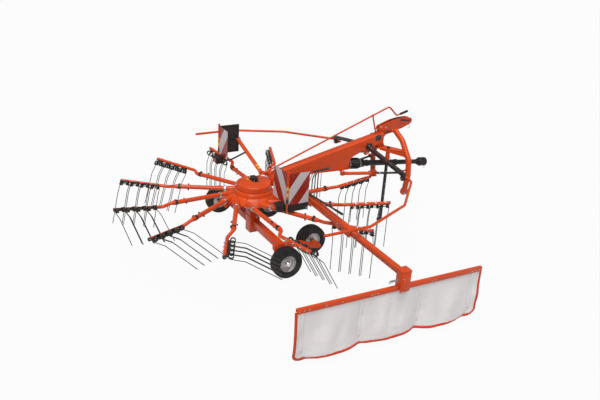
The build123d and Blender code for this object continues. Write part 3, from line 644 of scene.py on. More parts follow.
def make_tandems(settings):
    """Swept arm on each side from the rear wheel to the front one, with its hubs and stub axles."""
    radius, across, axle_room = settings.radius, 0.060, settings.width / 2 + 0.005
    outline = soft_corner([(-0.110, 0.268), (-0.108, 0.340), (-0.060, 0.354), (0.120, 0.350),
                           (0.300, 0.322), (0.470, 0.268), (0.590, 0.243), (0.618, 0.215),
                           (0.610, 0.180), (0.572, 0.172), (0.520, 0.184), (0.400, 0.230),
                           (0.280, 0.266), (0.020, 0.268), (-0.012, 0.230), (-0.018, 0.178),
                           (-0.080, 0.175), (-0.085, 0.255)], 0.03)
    for side, name in ((-1, "right"), (1, "left")):
        kit = Kit(f"tandem_arm_{name}", "frame", "paint", "zinc")
        kit.plate(outline, side * tandem_y, across, "paint", 0.006)
        for x, hub_y in wheel_places:
            # The hub from the arm's face to the wheel, the stub axle through it, and the nut behind
            out = 1 if hub_y > tandem_y else -1
            way, step = (0, side * out, 0), abs(hub_y - tandem_y)
            near = side * (tandem_y + out * across / 2)
            hub = step - axle_room - across / 2
            kit.turned((x, near, radius), way,
                       [(0, 0), (0.040, 0), (0.036, 0.012), (0.034, hub), (0, hub)], "paint")
            kit.turned((x, near, radius), way,
                       [(0, 0), (0.0123, 0), (0.0123, step + 0.028), (0, step + 0.03)], "zinc", 16)
            kit.turned((x, side * (tandem_y - out * across / 2), radius), (0, -side * out, 0),
                       [(0, 0), (0.030, 0), (0.030, 0.006), (0.018, 0.008), (0.018, 0.016), (0, 0.018)],
                       "paint", 24)
        # Bolted flange where the cross beam ends
        kit.box((0, side * 0.8165, 0.310), (0.14, 0.007, 0.082), "paint")
        for x in (-0.06, 0.06):
            for z in (0.285, 0.335):
                kit.bolt((x, side * 0.880, z), (0, side, 0))
        kit.done("orange_paint", f"tandem_beam_{name}", smooth=38)
    kit = Kit("column_details", "frame", "black", "zinc", "paint")
    kit.turned((-0.076, -0.02, 0.50), (-1, 0, 0), rod(0.018, 0.0012), "black", 24)
    for z in (0.40, 0.60):
        kit.bolt((-0.076, 0.03, z), (-1, 0, 0), 0.012)
        kit.bolt((0.02, -0.076, z), (0, -1, 0), 0.012)
    kit.box((0, 0, 0.405), (0.166, 0.166, 0.014), "paint", None, 0.003)
    kit.done("orange_paint")


# Curtain

def curtain_frame():
    """Matrix at the curtain arm's fold: -Y out along the arm, Z up."""
    joint = joints["curtain_fold"]
    along = -Vector(joint["axis"])
    side = Vector((0, 0, 1)).cross(along)
    turn = Matrix((along, side, Vector((0, 0, 1)))).transposed()
    return Matrix.Translation(Vector(joint["pos_m"])) @ turn.to_4x4()


def curtain_ends(settings):
    """The rear and front ends of rail and cloth, along the machine from the arm."""
    rear = settings.length * settings.rear_share
    return -rear, settings.length - rear


def make_curtain_arm(settings):
    """Box sleeve, inner arm with its slots in painted shade, lock lever, clamp, and the rail with its
    rivets.
    """
    frame_matrix = curtain_frame()
    shift = frame_matrix.translation - ground_point
    turn = frame_matrix.to_3x3()

    def at(x, y, z):
        return shift + turn @ Vector((x, y, z))

    def way(x, y, z):
        return turn @ Vector((x, y, z))

    half = settings.sleeve / 2
    end = -settings.sleeve_reach
    kit = Kit("telescope_sleeve", "curtain_sleeve", "paint", "black", "zinc")
    wall = 0.0065
    for side in (-1, 1):
        kit.box(at(side * (half - wall / 2), (end + half) / 2, 0), (wall, -end + half, 2 * half),
                "paint", turn, 0.003)
        kit.box(at(0, (end - half) / 2, side * (half - wall / 2)), (2 * half, -end - half, wall),
                "paint", turn, 0.003)
    # Stiffened mouth with a bolt, slots drawn as thin black sheets of painted shade, and the grey
    # keeper
    kit.box(at(-half - 0.004, end + 0.165, -0.010), (0.009, 0.33, 0.094), "paint", turn, 0.004)
    kit.box(at(half + 0.003, end + 0.03, 0), (0.006, 0.06, 0.082), "paint", turn)
    # Each slot is a thin black sheet on the side: painted shade of the hollow behind it
    for far in (0.03, 0.09, 0.15):
        kit.box(at(-half - 0.0088, end + far, 0.012), (0.0012, 0.028, 0.010), "black", turn, 0.0005)
    kit.bolt(at(-half - 0.0085, end + 0.215, -0.02), way(-1, 0, 0), 0.013, "black")
    kit.tube([at(-half - 0.008, end + 0.24, 0.02), at(-half - 0.05, end + 0.235, 0.04),
              at(-half - 0.062, end + 0.20, 0.065), at(-half - 0.058, end + 0.16, 0.07)], 0.005, "zinc",
             8, 0.02)
    kit.bolt(at(-half - 0.0005, -0.045, 0.0), way(-1, 0, 0), 0.014)
    kit.bolt(at(half + 0.0005, -0.045, 0.0), way(1, 0, 0), 0.014)
    kit.done("orange_paint", "arm_sleeve", smooth=38)

    kit = Kit("fold_lever", "curtain_sleeve", "black", "zinc")
    kit.bar(at(0, -0.185, half + 0.020), at(0, end * 0.8, 0.134), 0.030, 0.012, "black")
    kit.tube([at(0, end * 0.8 + 0.16, 0.121), at(0, end * 0.8, 0.134)], [0.015, 0.0165], "black", 16)
    kit.box(at(0, -0.160, half + 0.011), (0.032, 0.085, 0.022), "black", turn, 0.004)
    kit.bolt(at(0, -0.135, half + 0.022), way(0, 0, 1), 0.010)
    kit.done("black_paint", "lock_lever", smooth=45)

    kit = Kit("telescope_inner", "curtain", "paint", "black")
    size = settings.inner / 2
    start = -half * 4 - 0.6
    kit.box(at(0, (start - settings.reach) / 2, 0), (2 * size, settings.reach + start, 2 * size),
            "paint", turn, 0.004)
    # Thin black sheets down the inner arm's side: painted shade where its slots are
    for k in range(9):
        kit.box(at(-size + 0.0003, -1.47 - 0.098 * k, -0.012), (0.0010, 0.030, 0.012), "black", turn,
                0.0001)
    kit.done("orange_paint", "inner_arm", smooth=38)

    # Clamp: two cheeks, the raised front, cap, slot as a thin black sheet of painted shade, bolts and
    # the pin with its pale handle
    out = -settings.reach
    kit = Kit("rail_clamp", "curtain", "paint", "black", "zinc")
    box_half = settings.inner * 0.93
    low, high = -0.205, box_half
    kit.box(at(0, out - box_half * 0.80, (low + high) / 2 + 0.004),
            (2 * box_half, 0.012, high - low - 0.012), "paint", turn, 0.003)
    kit.box(at(0, out - box_half * 0.93, (low + high) / 2 - 0.012),
            (1.35 * box_half, 0.012, high - low - 0.065), "paint", turn, 0.004)
    for side in (-1, 1):
        kit.box(at(side * (box_half - 0.005), out, (low + high) / 2 + 0.020),
                (0.010, 2 * box_half * 0.82, high - low - 0.044), "paint", turn, 0.003)
    kit.box(at(0, out, high - 0.006), (2 * box_half + 0.006, 2 * box_half - 0.004, 0.012), "paint",
            turn, 0.004)
    # Thin black sheet: painted shade of the slot
    kit.box(at(0.012, out - box_half - 0.0005, high - 0.05), (0.052, 0.0015, 0.006), "black", turn,
            0.0004)
    for x, z in ((-0.036, low + 0.022), (0.036, low + 0.022), (-0.036, high - 0.085)):
        kit.bolt(at(x, out - box_half * 0.925, z), way(0, -1, 0))
    kit.tube([at(-box_half + 0.004, out, -0.062), at(-box_half - 0.06, out, -0.062),
              at(-0.168, out, -0.062)], 0.0095, "zinc")
    kit.tube([at(-0.100, out, -0.062), at(-0.165, out, -0.062)], 0.0125, "zinc")
    kit.tube([at(-0.170, out, -0.050), at(-0.178, out, -0.085)], 0.006, "zinc", 10)
    kit.done("orange_paint", "curtain_clamp", smooth=38)

    # Angle rail: web, rolled upper lip and groups of rivets
    rear, front = curtain_ends(settings)
    middle, run = (rear + front) / 2, front - rear
    kit = Kit("angle_rail", "curtain", "paint", "zinc")
    kit.box(at(middle, out - 0.0150, -0.158), (run, 0.0055, 0.0550), "paint", turn, 0.0012)
    kit.box(at(middle, out + 0.001, -0.1335), (run, 0.037, 0.0055), "paint", turn, 0.0015)
    kit.box(at(middle, out + 0.012, -0.155), (run, 0.0045, 0.030), "paint", turn, 0.001)
    for share in (0.012, 0.035, 0.06, 0.14, 0.22, 0.37, 0.385, 0.40, 0.56, 0.70, 0.72, 0.84, 0.94, 0.96,
                  0.985):
        kit.turned(at(rear + run * share, out - 0.0176, -0.160), way(0, -1, 0),
                   [(0, 0), (0.0062, 0), (0.0050, 0.0028), (0, 0.0036)], "zinc", 12)
    kit.done("orange_paint", "curtain_rail", smooth=38)


battens = (0.035, 0.33, 0.655, 0.955)


def bulge(s):
    """How far the cloth stands out between two battens, from 0 at a batten to about 1 midway."""
    edges = (-0.03,) + battens + (1.03,)
    depths = (0.1, 0.9, 0.8, 1.1, 0.1)
    for one, two, depth in zip(edges, edges[1:], depths):
        if s <= two:
            return depth * sin(pi * (s - one) / (two - one)) ** 1.15
    return 0


def make_curtain(settings):
    """The hanging cloth, simulated from a slightly full cut, with its hem tape and battens."""
    place = curtain_frame()
    rear, front = curtain_ends(settings)
    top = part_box("swath_curtain")[1].z - place.translation.z
    columns, rows, cloth_steps = 120, 34, 10
    bm = bmesh.new()
    grid = []
    for j in range(rows + 1):
        row = []
        for i in range(columns + 1):
            s, t = i / columns, 1 - (1 - j / rows) ** 1.4
            fall = settings.height * t
            past = max(0, fall - settings.height + settings.corner)
            inset = settings.corner - max(0, settings.corner ** 2 - past ** 2) ** 0.5
            y = -settings.reach - settings.fullness * sin(pi * t / 2) ** 1.3 * bulge(s)
            crease = (noise.noise(Vector((s * 6, t * 2.6, 0.3))) * 0.022
                      + noise.noise(Vector((s * 22, t * 7, 4.1))) * 0.004)
            y += crease * sin(pi * min(1, t * 1.05))
            x = rear + inset + (front - rear - 2 * inset) * s
            row.append(bm.verts.new(place @ Vector((x, y, top - fall))))
        grid.append(row)
    for j in range(rows):
        for i in range(columns):
            bm.faces.new((grid[j][i], grid[j + 1][i], grid[j + 1][i + 1], grid[j][i + 1]))
    piece = mesh_piece("hung_curtain", bm, finishes["cloth"], "curtain", 0)
    pins = piece.vertex_groups.new(name="pinned")
    pins.add(list(range(columns + 1)), 1.0, "REPLACE")
    cloth = piece.modifiers.new("Cloth", "CLOTH")
    cloth.settings.quality = 6
    cloth.settings.mass = 0.6
    cloth.settings.tension_stiffness = 60
    cloth.settings.compression_stiffness = 60
    cloth.settings.shear_stiffness = 20
    cloth.settings.bending_stiffness = 90
    cloth.settings.air_damping = 4
    cloth.settings.vertex_group_mass = "pinned"
    scene = bpy.context.scene
    for step in range(cloth_steps):
        scene.frame_set(step + 1)
    shape = piece.evaluated_get(bpy.context.evaluated_depsgraph_get()).to_mesh()
    spots = [vert.co.copy() for vert in shape.vertices]
    piece.modifiers.remove(cloth)
    for vert, spot in zip(piece.data.vertices, spots):
        vert.co = spot
    scene.frame_set(1)
    piece.data.shade_smooth()
    border = curtain_border(piece, columns, rows)
    solid = piece.modifiers.new("Thickness", "SOLIDIFY")
    solid.thickness = 0.0016
    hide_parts("swath_curtain")
    bm = bmesh.new()
    sides = 10
    add_tube(bm, border, settings.hem / 2, sides)
    # Pressed flat across the cloth
    front = place.to_3x3() @ Vector((0, -1, 0))
    bm.verts.ensure_lookup_table()
    for first in range(0, len(border) * sides, sides):
        ring = bm.verts[first:first + sides]
        centre = sum((vert.co for vert in ring), Vector()) / sides
        for vert in ring:
            vert.co -= front * (vert.co - centre).dot(front) * 0.62
    hem = mesh_piece("curtain_hem", bm, finishes["hem"], "curtain")
    strips = make_battens(piece, columns, rows, place)


def curtain_border(piece, columns, rows):
    """Points down one end of the cloth, along its lower edge, and up the other end."""
    def spot(i, j):
        return piece.data.vertices[j * (columns + 1) + i].co.copy()

    down = [spot(0, j) for j in range(rows + 1)]
    along = [spot(i, rows) for i in range(1, columns)]
    up = [spot(columns, j) for j in range(rows, -1, -1)]
    return down + along + up


def make_battens(piece, columns, rows, place):
    """The sewn pockets that stiffen the cloth: low ridges over it, round at the foot."""
    bm = bmesh.new()
    front = place.to_3x3() @ Vector((0, -1, 0))
    for share in battens:
        middle = share * columns
        columns_here = [middle - 1.0, middle - 0.55, middle, middle + 0.55, middle + 1.0]
        rings = []
        for j in range(0, rows - 8):
            ring = []
            for k, i in enumerate(columns_here):
                low = int(i)
                a = piece.data.vertices[j * (columns + 1) + low].co
                b = piece.data.vertices[j * (columns + 1) + min(low + 1, columns)].co
                proud = (0.001, 0.005, 0.0065, 0.005, 0.001)[k]
                ring.append(bm.verts.new(a.lerp(b, i - low) + front * proud))
            rings.append(ring)
        for one, two in zip(rings, rings[1:]):
            for k in range(4):
                bm.faces.new((one[k], two[k], two[k + 1], one[k + 1]))
        bm.faces.new(rings[-1][::-1])
    strips = mesh_piece("curtain_battens", bm, finishes["cloth"], "curtain", 0)
    strips.data.shade_smooth()
    return strips


# Hub and gear cover

def cover_height(settings, x, y):
    """Height of the cover's top: a shallow dome with the raised pad that runs to the boom."""
    r = (x * x + y * y) ** 0.5
    edge, shoulder, top = settings.cover_radius, settings.cover_shoulder, settings.cover_top
    if r < 0.085:
        height = top
    else:
        height = top - (top - shoulder) * min(1, (r - 0.085) / (edge - 0.1)) ** 0.9
    reach = edge - r
    if reach < 0.022:
        height -= 0.022 - max(0, 0.022 ** 2 - (0.022 - reach) ** 2) ** 0.5
    half = 0.088 + 0.35 * max(0, x)
    inside = min((half - abs(y)) / 0.02, (x + 0.085) / 0.02)
    rise = min(1, max(0, inside))
    pad = top - 0.014 * max(0, x) / edge
    soft = rise * rise * (3 - 2 * rise)
    return max(height, height + (pad - height) * soft) if reach > 0.01 else height


def make_hub(settings, rotor):
    """Gear cover with its raised pad, a black ring of painted shade in the gap below it, and the hub
    with its sockets.
    """
    bm = bmesh.new()
    spokes, rings = 96, 22
    grid = []
    for k in range(rings + 1):
        share = k / rings
        r = settings.cover_radius * (1 - (1 - share) ** 1.6)
        ring = []
        for j in range(spokes):
            a = tau * j / spokes
            x, y = r * cos(a), r * sin(a)
            height = cover_height(settings, x, y)
            ring.append(bm.verts.new(from_axis(x, y, height)) if k or not j else ring[0])
        grid.append(ring)
    edge, foot = settings.cover_radius, settings.cover_bottom
    grid.append([bm.verts.new(from_axis(edge * cos(a), edge * sin(a), foot))
                 for a in (tau * j / spokes for j in range(spokes))])
    for one, two in zip(grid, grid[1:]):
        for j in range(spokes):
            corners = [one[j], one[(j + 1) % spokes], two[(j + 1) % spokes], two[j]]
            bm.faces.new(list(dict.fromkeys(corners)))
    add_lathe(bm, from_axis(0, 0, settings.cover_bottom), (0, 0, 1),
              collar(0.062, settings.cover_radius, 0.001), spokes)
    # Black ring that fills the gap between the hub's top and the cover's foot: painted shade of the gap
    add_lathe(bm, from_axis(0, 0, settings.hub_top), (0, 0, 1),
              [(0.07, 0.0006), (0.234, 0.0006), (0.234, 0.006), (0.07, 0.006)], 64, 1)
    bmesh.ops.recalc_face_normals(bm, faces=bm.faces)
    # Round yellow sign with a dark ring on it, and the rivets of the shoulder
    sign = (-0.062, 0.055)
    add_lathe(bm, from_axis(*sign, settings.cover_top - 0.002), (0.02, 0.02, 1),
              rod(0.026, 0.0022), 28, 2, closed=False)
    add_lathe(bm, from_axis(*sign, settings.cover_top), (0.02, 0.02, 1),
              collar(0.009, 0.013, 0.001), 24, 1)
    for turn in (-100, -50, 80, 130, 180):
        a = radians(turn)
        add_lathe(bm, from_axis(0.2 * cos(a), 0.2 * sin(a), settings.cover_shoulder + 0.002), (0, 0, 1),
                  [(0, 0), (0.008, 0), (0.006, 0.005), (0, 0.006)], 14, 3, closed=False)
    piece = mesh_piece("gear_cover_dome", bm, [finishes["paint"], finishes["black"], finishes["yellow"],
                                               finishes["zinc"]], "frame", 40)
    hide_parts("gear_cover")

    kit = Kit("rotor_drum", "rotor", "paint", "black", "zinc")
    kit.turned((0, 0, 0), (0, 0, 1),
               [(0.062, 0.772), (0.062, 0.820), (0.066, 0.822), (0.252, 0.822), (0.262, 0.818),
                (0.268, 0.809), (0.274, 0.790), (0.279, 0.776), (0.279, 0.7725), (0.275, 0.7715),
                (0.275, 0.7675), (0.286, 0.7665), (0.300, 0.7600), (0.322, 0.7360), (0.344, 0.7080),
                (0.359, 0.6900), (0.3615, 0.6840), (0.3615, 0.6650), (0.355, 0.6640), (0.348, 0.6700),
                (0.340, 0.6860), (0.27, 0.7600), (0.09, 0.7700)], "paint", 96, True)
    for number in range(12):
        place = arm_place(number + 1, rotor, rolled=False)
        turn = place.to_3x3()

        def at(x, y, z):
            return place @ Vector((x, y, z))

        add_tube(kit.bm, [at(0.2, 0, 0), at(0.3, 0, 0), at(0.345, 0, 0), at(0.372, 0, 0),
                          at(0.4, 0, 0)], [0.042, 0.041, 0.039, 0.0365, 0.0335], 22, 0)
        a = tau * (number + 0.5) / 12 + 0.04
        add_bolt(kit.bm, from_axis(0.302 * cos(a), 0.302 * sin(a), 0.757),
                 (0.75 * cos(a), 0.75 * sin(a), 0.66), 0.0075, 1)
        add_lathe(kit.bm, at(rotor.arm_root, 0, 0), turn @ Vector((1, 0, 0)),
                  [(0.0312, -0.0145), (0.0375, -0.0145), (0.0400, -0.012), (0.0400, 0.012),
                   (0.0375, 0.0145), (0.0312, 0.0145)], 28, 2)
        add_bolt(kit.bm, at(rotor.arm_root, 0, -0.039), turn @ Vector((0, 0, -1)), 0.007, 2)
    kit.done("orange_paint", "rotor_hub", "socket_rings", smooth=32)

    kit = Kit("crank_drive_box", "frame", "plastic", "zinc", "black")
    low = settings.cover_top + 0.0004
    kit.box((0, 0, low + 0.005), (0.090, 0.160, 0.009), "plastic")
    kit.box((0.0, 0.012, low + 0.028), (0.072, 0.110, 0.046), "plastic", None, 0.010)
    kit.turned((0.0, -0.076, low + 0.027), (0, 1, 0),
               [(0, 0), (0.018, 0), (0.022, 0.004), (0.022, 0.05), (0, 0.05)], "plastic")
    kit.turned((0.018, 0, low + 0.030), (1, 0, 0.45),
               [(0, 0), (0.022, 0), (0.022, 0.022), (0.017, 0.028), (0, 0.028)], "plastic")
    kit.turned((0.0, 0.030, low + 0.05), (0, 0, 1), [(0, 0), (0.018, 0), (0.018, 0.0010), (0, 0.0015)],
               "black")
    for x in (-0.034, 0.034):
        for y in (-0.068, 0.068):
            kit.bolt((x, y, low + 0.009), (0, 0, 1), 0.007)
    kit.done("black_plastic", "crank_gearbox")


# Boom and height crank

def boom_top(settings, x):
    """Upper edge of the boom's side, a straight line from rear to nose."""
    return settings.rear_top + (settings.front_top - settings.rear_top) * (x - settings.rear_x) / (
        settings.front_x - settings.rear_x)


def boom_under(x):
    """Lower edge of the boom's side: the belly, the notch over the bellows, the knee, the nose."""
    line = ((0.41, 0.955), (1.151, 0.917), (1.50, 0.909), (1.5375, 0.911), (1.5376, 1.030),
            (1.548, 1.062), (1.572, 1.090), (1.61, 1.112), (1.831, 1.2005), (1.90, 1.222),
            (2.10, 1.247), (2.13, 1.256))
    for (x0, z0), (x1, z1) in zip(line, line[1:]):
        if x <= x1:
            return z0 + (z1 - z0) * (x - x0) / (x1 - x0)
    return line[-1][1]


def make_boom(settings):
    """Pressed boom: a trough upside down, with round upper edges, and the height crank."""
    kit = Kit("pressed_boom", "frame", "paint", "black", "label", "zinc")
    half, wall, bend = settings.width / 2, settings.wall, 0.016
    stations = [0.41, 0.414, 0.6, 0.9, 1.151, 1.35, 1.50, 1.5374, 1.5376, 1.542, 1.548, 1.558, 1.572,
                1.59, 1.61, 1.72, 1.831, 1.86, 1.90, 2.0, 2.10, 2.118, 2.126, 2.13]
    rings = []
    for x in stations:
        top, low = boom_top(settings, x), boom_under(x)
        tuck = (0.006 if x in (stations[0], stations[-1]) else
                0.0015 if x in (stations[1], stations[-2]) else 0)
        outer = [(-half + tuck, low)]
        for k in range(6):
            a = pi / 2 * k / 5
            outer.append((-half + bend - (bend - tuck) * cos(a), top - bend + (bend - tuck) * sin(a)))
        outer += [(-y, z) for y, z in reversed(outer)]
        inner = [(half - wall, low), (half - wall, top - wall), (-half + wall, top - wall),
                 (-half + wall, low)]
        rings.append([kit.bm.verts.new(from_axis(x, y, z)) for y, z in outer + inner])
    count = len(rings[0])
    for one, two in zip(rings, rings[1:]):
        for k in range(count):
            kit.bm.faces.new((one[k], one[(k + 1) % count], two[(k + 1) % count], two[k]))
    for ring in (rings[0], rings[-1]):
        kit.bm.faces.new(ring)
    # Rolled edges along both sides' feet, the closed floor of the nose and the end plates
    notch_start, nose_start = stations.index(1.5376), stations.index(1.61)
    edge = [(x, boom_under(x)) for x in stations[1:notch_start - 1]] + [(1.536, 0.911)]
    notch = [(x, boom_under(x)) for x in stations[notch_start:]]
    for y in (-half + 0.004, half - 0.004):
        kit.tube([(x, y, z) for x, z in edge], 0.0058, "paint", 8)
        kit.tube([(x, y, z) for x, z in notch], 0.0052, "paint", 8)
    floor = [(x, boom_under(x) + 0.005) for x in stations[nose_start:]]
    for (x0, z0), (x1, z1) in zip(floor, floor[1:]):
        kit.bar((x0, 0, z0), (x1, 0, z1), 2 * (half - wall) + 0.002, 0.008, "paint", 0)
    kit.box((2.126, 0, 1.335), (0.008, 2 * half - 0.03, 0.15), "paint", None, 0.001)
    # Foot between cover and boom, with the upright strap at the cover
    kit.plate(soft_corner([(0.2475, 0.829), (0.549, 0.829), (0.549, 0.958), (0.414, 0.960),
                           (0.414, 1.0255), (0.33, 1.024), (0.2475, 0.931)], 0.03), 0, 2 * half - 0.004,
              "paint", 0.008)
    kit.box((0.262, 0, 0.876), (0.022, 2 * half + 0.012, 0.098), "paint", None, 0.006)
    kit.bolt((0.30, -half + 0.001, 0.862), (0, -1, 0), 0.012, "black")
    kit.bolt((0.45, -half + 0.001, 0.90), (0, -1, 0), 0.011)
    # Boss of the upright pin
    kit.turned((settings.pin_x, 0, 1.190), (0, 0, 1),
               [(0.0253, 0.001), (0.052, 0.001), (0.055, 0.004), (0.055, 0.246), (0.052, 0.249),
                (0.0253, 0.249)], "paint", 36, True)
    # Blank strip on each side, and the label plate without words on the nose
    plate_x, plate_z = 2.022, 1.346
    for side in (-1, 1):
        y = side * (half + 0.0008)
        kit.bar((0.90, y, 0.951), (1.18, y, 0.971), 0.0016, 0.030, "label", 0)
        kit.box((plate_x, side * (half + 0.001), plate_z), (0.105, 0.002, 0.085), "label",
                Matrix.Rotation(radians(-6), 3, "Y"), 0.001)
        for dx, dz in ((-0.045, 0.036), (0.045, 0.036), (-0.045, -0.036), (0.045, -0.036)):
            kit.bolt((plate_x + dx, side * (half + 0.002), plate_z + dz), (0, side, 0), 0.003)
        # Lugs of the stabilisers
        x, y = stay_rear_x, side * stay_rear_y
        kit.box((x, side * 0.101, 0.9025), (0.068, 0.076, 0.010), "paint", None, 0.003)
        kit.box((x, side * (half + 0.004), 0.922), (0.068, 0.010, 0.046), "paint", None, 0.003)
        kit.tube([(x, y, 0.845), (x, y, 0.909)], 0.0098, "zinc")
        kit.bolt((x, y, 0.908), (0, 0, 1), 0.012)
        kit.bolt((x, y, 0.847), (0, 0, -1), 0.012)
    # Hanger plates under the nose, in front of the bellows
    for y in (-0.052, 0.052):
        kit.plate(soft_corner([(1.78, 1.19), (1.93, 1.24), (1.90, 1.12), (1.83, 1.085), (1.79, 1.11)],
                              0.03), y, 0.010, "paint")
    kit.tube([(1.852, -0.06, 1.125), (1.852, 0.06, 1.125)], 0.013, "zinc")
    kit.done("orange_paint", "boom", smooth=38)

    kit = Kit("crank_rod_and_post", "frame", "paint", "plastic", "zinc")
    top_x, top_z = crank_top
    slope = (top_z - crank_foot_z) / top_x
    kit.tube([(0.047, 0, crank_foot_z + 0.047 * slope), (top_x, 0, top_z), (2.3775, 0, 1.640),
              (2.43, 0, 1.6553), (2.452, 0, 1.661)], 0.0125, "paint", 14, 0.06)
    kit.tube([(2.435, 0, 1.6565), (2.44, 0, 1.6579), (2.57, 0, 1.6930), (2.578, 0, 1.6951)],
             [0.0135, 0.017, 0.017, 0.013], "plastic", 18)
    for k in range(7):
        x = 2.452 + 0.017 * k
        kit.tube([(x, 0, 1.6611 + (x - 2.452) * 0.27), (x + 0.006, 0, 1.6627 + (x - 2.452) * 0.27)],
                 0.0185, "plastic", 16)
    foot, head = Vector((2.018, 0, 1.388)), Vector((1.9275, 0, crank_foot_z + 1.9275 * slope))
    kit.bar(foot, head + Vector((0.004, 0, -0.012)), 0.030, 0.010, "paint", 0.002)
    kit.turned(head - Vector((0.012, 0, 0.0045)), (1, 0, slope), collar(0.0127, 0.019, 0.024),
               "paint", 20, True)
    kit.box((2.012, 0, boom_top(settings, 2.012) + 0.004), (0.06, 0.05, 0.008), "paint",
            Matrix.Rotation(radians(-12.6), 3, "Y"), 0.002)
    kit.bolt((2.03, 0.012, boom_top(settings, 2.03) + 0.006), (-0.22, 0, 1), 0.008)
    kit.done("orange_paint", "height_crank", "crank_post", smooth=40)


# Headstock

def make_headstock(settings):
    """Cheeks with their pins and a black strip of painted recess shade, channel arms, stand sleeve, and
    the feet with their pins.
    """
    kit = Kit("headstock_cheeks", "headstock", "paint", "black", "zinc")
    cheek = soft_corner([(2.036, 1.4515), (2.171, 1.4515), (2.25, 1.434), (2.30, 1.402), (2.345, 1.402),
                         (2.385, 1.431), (2.444, 1.434), (2.56, 1.475), (2.636, 1.508), (2.654, 1.537),
                         (2.643, 1.590), (2.562, 1.607), (2.407, 1.604), (2.25, 1.576), (2.11, 1.528),
                         (2.036, 1.497)], 0.03)
    for side in (-1, 1):
        y = side * 0.035
        outside = side * 0.0405
        kit.plate(cheek, y, 0.010, "paint", 0.0025)
        # Black strip towards the front, painted shade of a recess; the pins' heads and the boss of the
        # upper link
        kit.bar((2.43, outside, 1.578), (2.60, outside, 1.552), 0.004, 0.026, "black", 0.001)
        kit.bolt((2.075, outside, 1.503), (0, side, 0), 0.014)
        kit.bolt((2.168, outside, 1.487), (0, side, 0), 0.014)
        kit.bolt((2.30, outside, 1.438), (0, side, 0), 0.008)
        kit.turned((2.62, outside - side * 0.0005, 1.558), (0, side, 0),
                   collar(0.0128, 0.024, 0.008), "paint", 28, True)
    # Spacers between the cheeks, and the dark rest on top
    kit.box((2.12, 0, 1.456), (0.16, 0.108, 0.0095), "paint")
    kit.plate(soft_corner([(2.28, 1.566), (2.41, 1.588), (2.50, 1.590), (2.50, 1.602), (2.41, 1.600),
                           (2.28, 1.578)], 0.01), 0, 0.058, "black", 0.001)
    kit.tube([(2.075, -0.035, 1.503), (2.075, 0.035, 1.503)], 0.012, "paint")
    kit.tube([(2.168, -0.035, 1.487), (2.168, 0.035, 1.487)], 0.012, "paint")
    # Chain keeper and spring pin on the near side
    kit.tube([(2.585, -0.055, 1.500), (2.60, -0.070, 1.470), (2.58, -0.074, 1.440),
              (2.565, -0.06, 1.455)], 0.004, "zinc", 8, 0.02)
    kit.done("orange_paint", "top_plates", smooth=38)

    kit = Kit("headstock_channels", "headstock", "paint", "zinc")
    low, level = 1.1797, 1.1897
    outline = ((2.036, -0.086), (2.319, -0.364), (2.36, -0.364), (2.36, -0.291), (2.2, 0.0),
               (2.36, 0.291), (2.36, 0.364), (2.319, 0.364), (2.036, 0.086))
    verts = [[kit.bm.verts.new(from_axis(x, y, z)) for x, y in outline] for z in (low, level)]
    kit.bm.faces.new(verts[0])
    kit.bm.faces.new(verts[1])
    for k in range(len(outline)):
        j = (k + 1) % len(outline)
        kit.bm.faces.new((verts[0][k], verts[0][j], verts[1][j], verts[1][k]))
    for side in (-1, 1):
        # Flanges that hang from the plate's edges and grow towards the arch
        for (x0, y0), (x1, y1), drop0, drop1 in (((2.05, 0.095), (2.335, 0.372), 0.018, 0.085),
                                                ((2.235, 0.06), (2.345, 0.262), 0.012, 0.07)):
            ring = [(x0, y0, low), (x1, y1, low), (x1, y1, low - drop1), (x0, y0, low - drop0)]
            side_way = Vector((y1 - y0, -(x1 - x0) * side, 0)).normalized() * 0.008
            front = [kit.bm.verts.new(from_axis(x, side * y, z)) for x, y, z in ring]
            back = [kit.bm.verts.new(from_axis(x, side * y, z) + side_way) for x, y, z in ring]
            kit.bm.faces.new(front)
            kit.bm.faces.new(back)
            for k in range(4):
                kit.bm.faces.new((front[k], front[(k + 1) % 4], back[(k + 1) % 4], back[k]))
        kit.bolt((2.16, side * 0.09, level), (0, 0, 1), 0.011)
    kit.turned((settings.pin_x, 0, low - 0.020), (0, 0, 1),
               [(0.0253, 0), (0.05, 0), (0.055, 0.006), (0.055, 0.02), (0.0253, 0.02)], "paint", 32,
               True)
    # The stand's sleeve with its foot ring, the pin through it and the pin's wire ring
    x, y = settings.stand_x, settings.stand_y
    kit.turned((x, y, 1.0196), (0, 0, 1), collar(0.0252, 0.032, 0.16), "paint", 28, True)
    kit.turned((x, y, 1.0195), (0, 0, 1), collar(0.032, 0.037, 0.012), "paint", 28, True)
    kit.tube([(x, y - 0.06, 1.07), (x, y + 0.045, 1.07)], 0.006, "zinc", 10)
    loop = ((0, 0.004, 1.07), (0.02, 0, 1.04), (0, 0.004, 1.015), (-0.02, 0, 1.04), (0, 0.004, 1.068))
    kit.tube([(x + along, y - 0.062 + out, z) for along, out, z in loop], 0.0025, "zinc", 6, 0.02)
    kit.done("orange_paint", "cross_plate", "stand_sleeve", smooth=38)

    kit = Kit("link_pins", "headstock", "paint", "zinc")
    foot_x, foot_y, foot = 2.36, 0.4095, 0.570
    for side in (-1, 1):
        y = side * foot_y
        plate = [(foot_x + 0.066 * cos(a) * (1.0 if cos(a) > 0 else 1.05),
                  foot - 0.004 + 0.066 * sin(a)) for a in (tau * k / 28 for k in range(28))]
        for shift in (-0.0075, 0.0075):
            kit.plate(plate, y + shift, 0.009, "paint")
        out = y + side * 0.0125
        kit.turned((foot_x, out, foot - 0.0255), (0, side, 0),
                   [(0, 0), (0.024, 0), (0.024, 0.012), (0.014, 0.014), (0.014, 0.100), (0.0115, 0.105),
                    (0.0115, 0.1065), (0, 0.107)], "zinc", 24)
        kit.turned((foot_x, y - side * 0.013, foot - 0.0255), (0, -side, 0),
                   [(0, 0), (0.02, 0), (0.02, 0.014), (0, 0.016)], "zinc", 6)
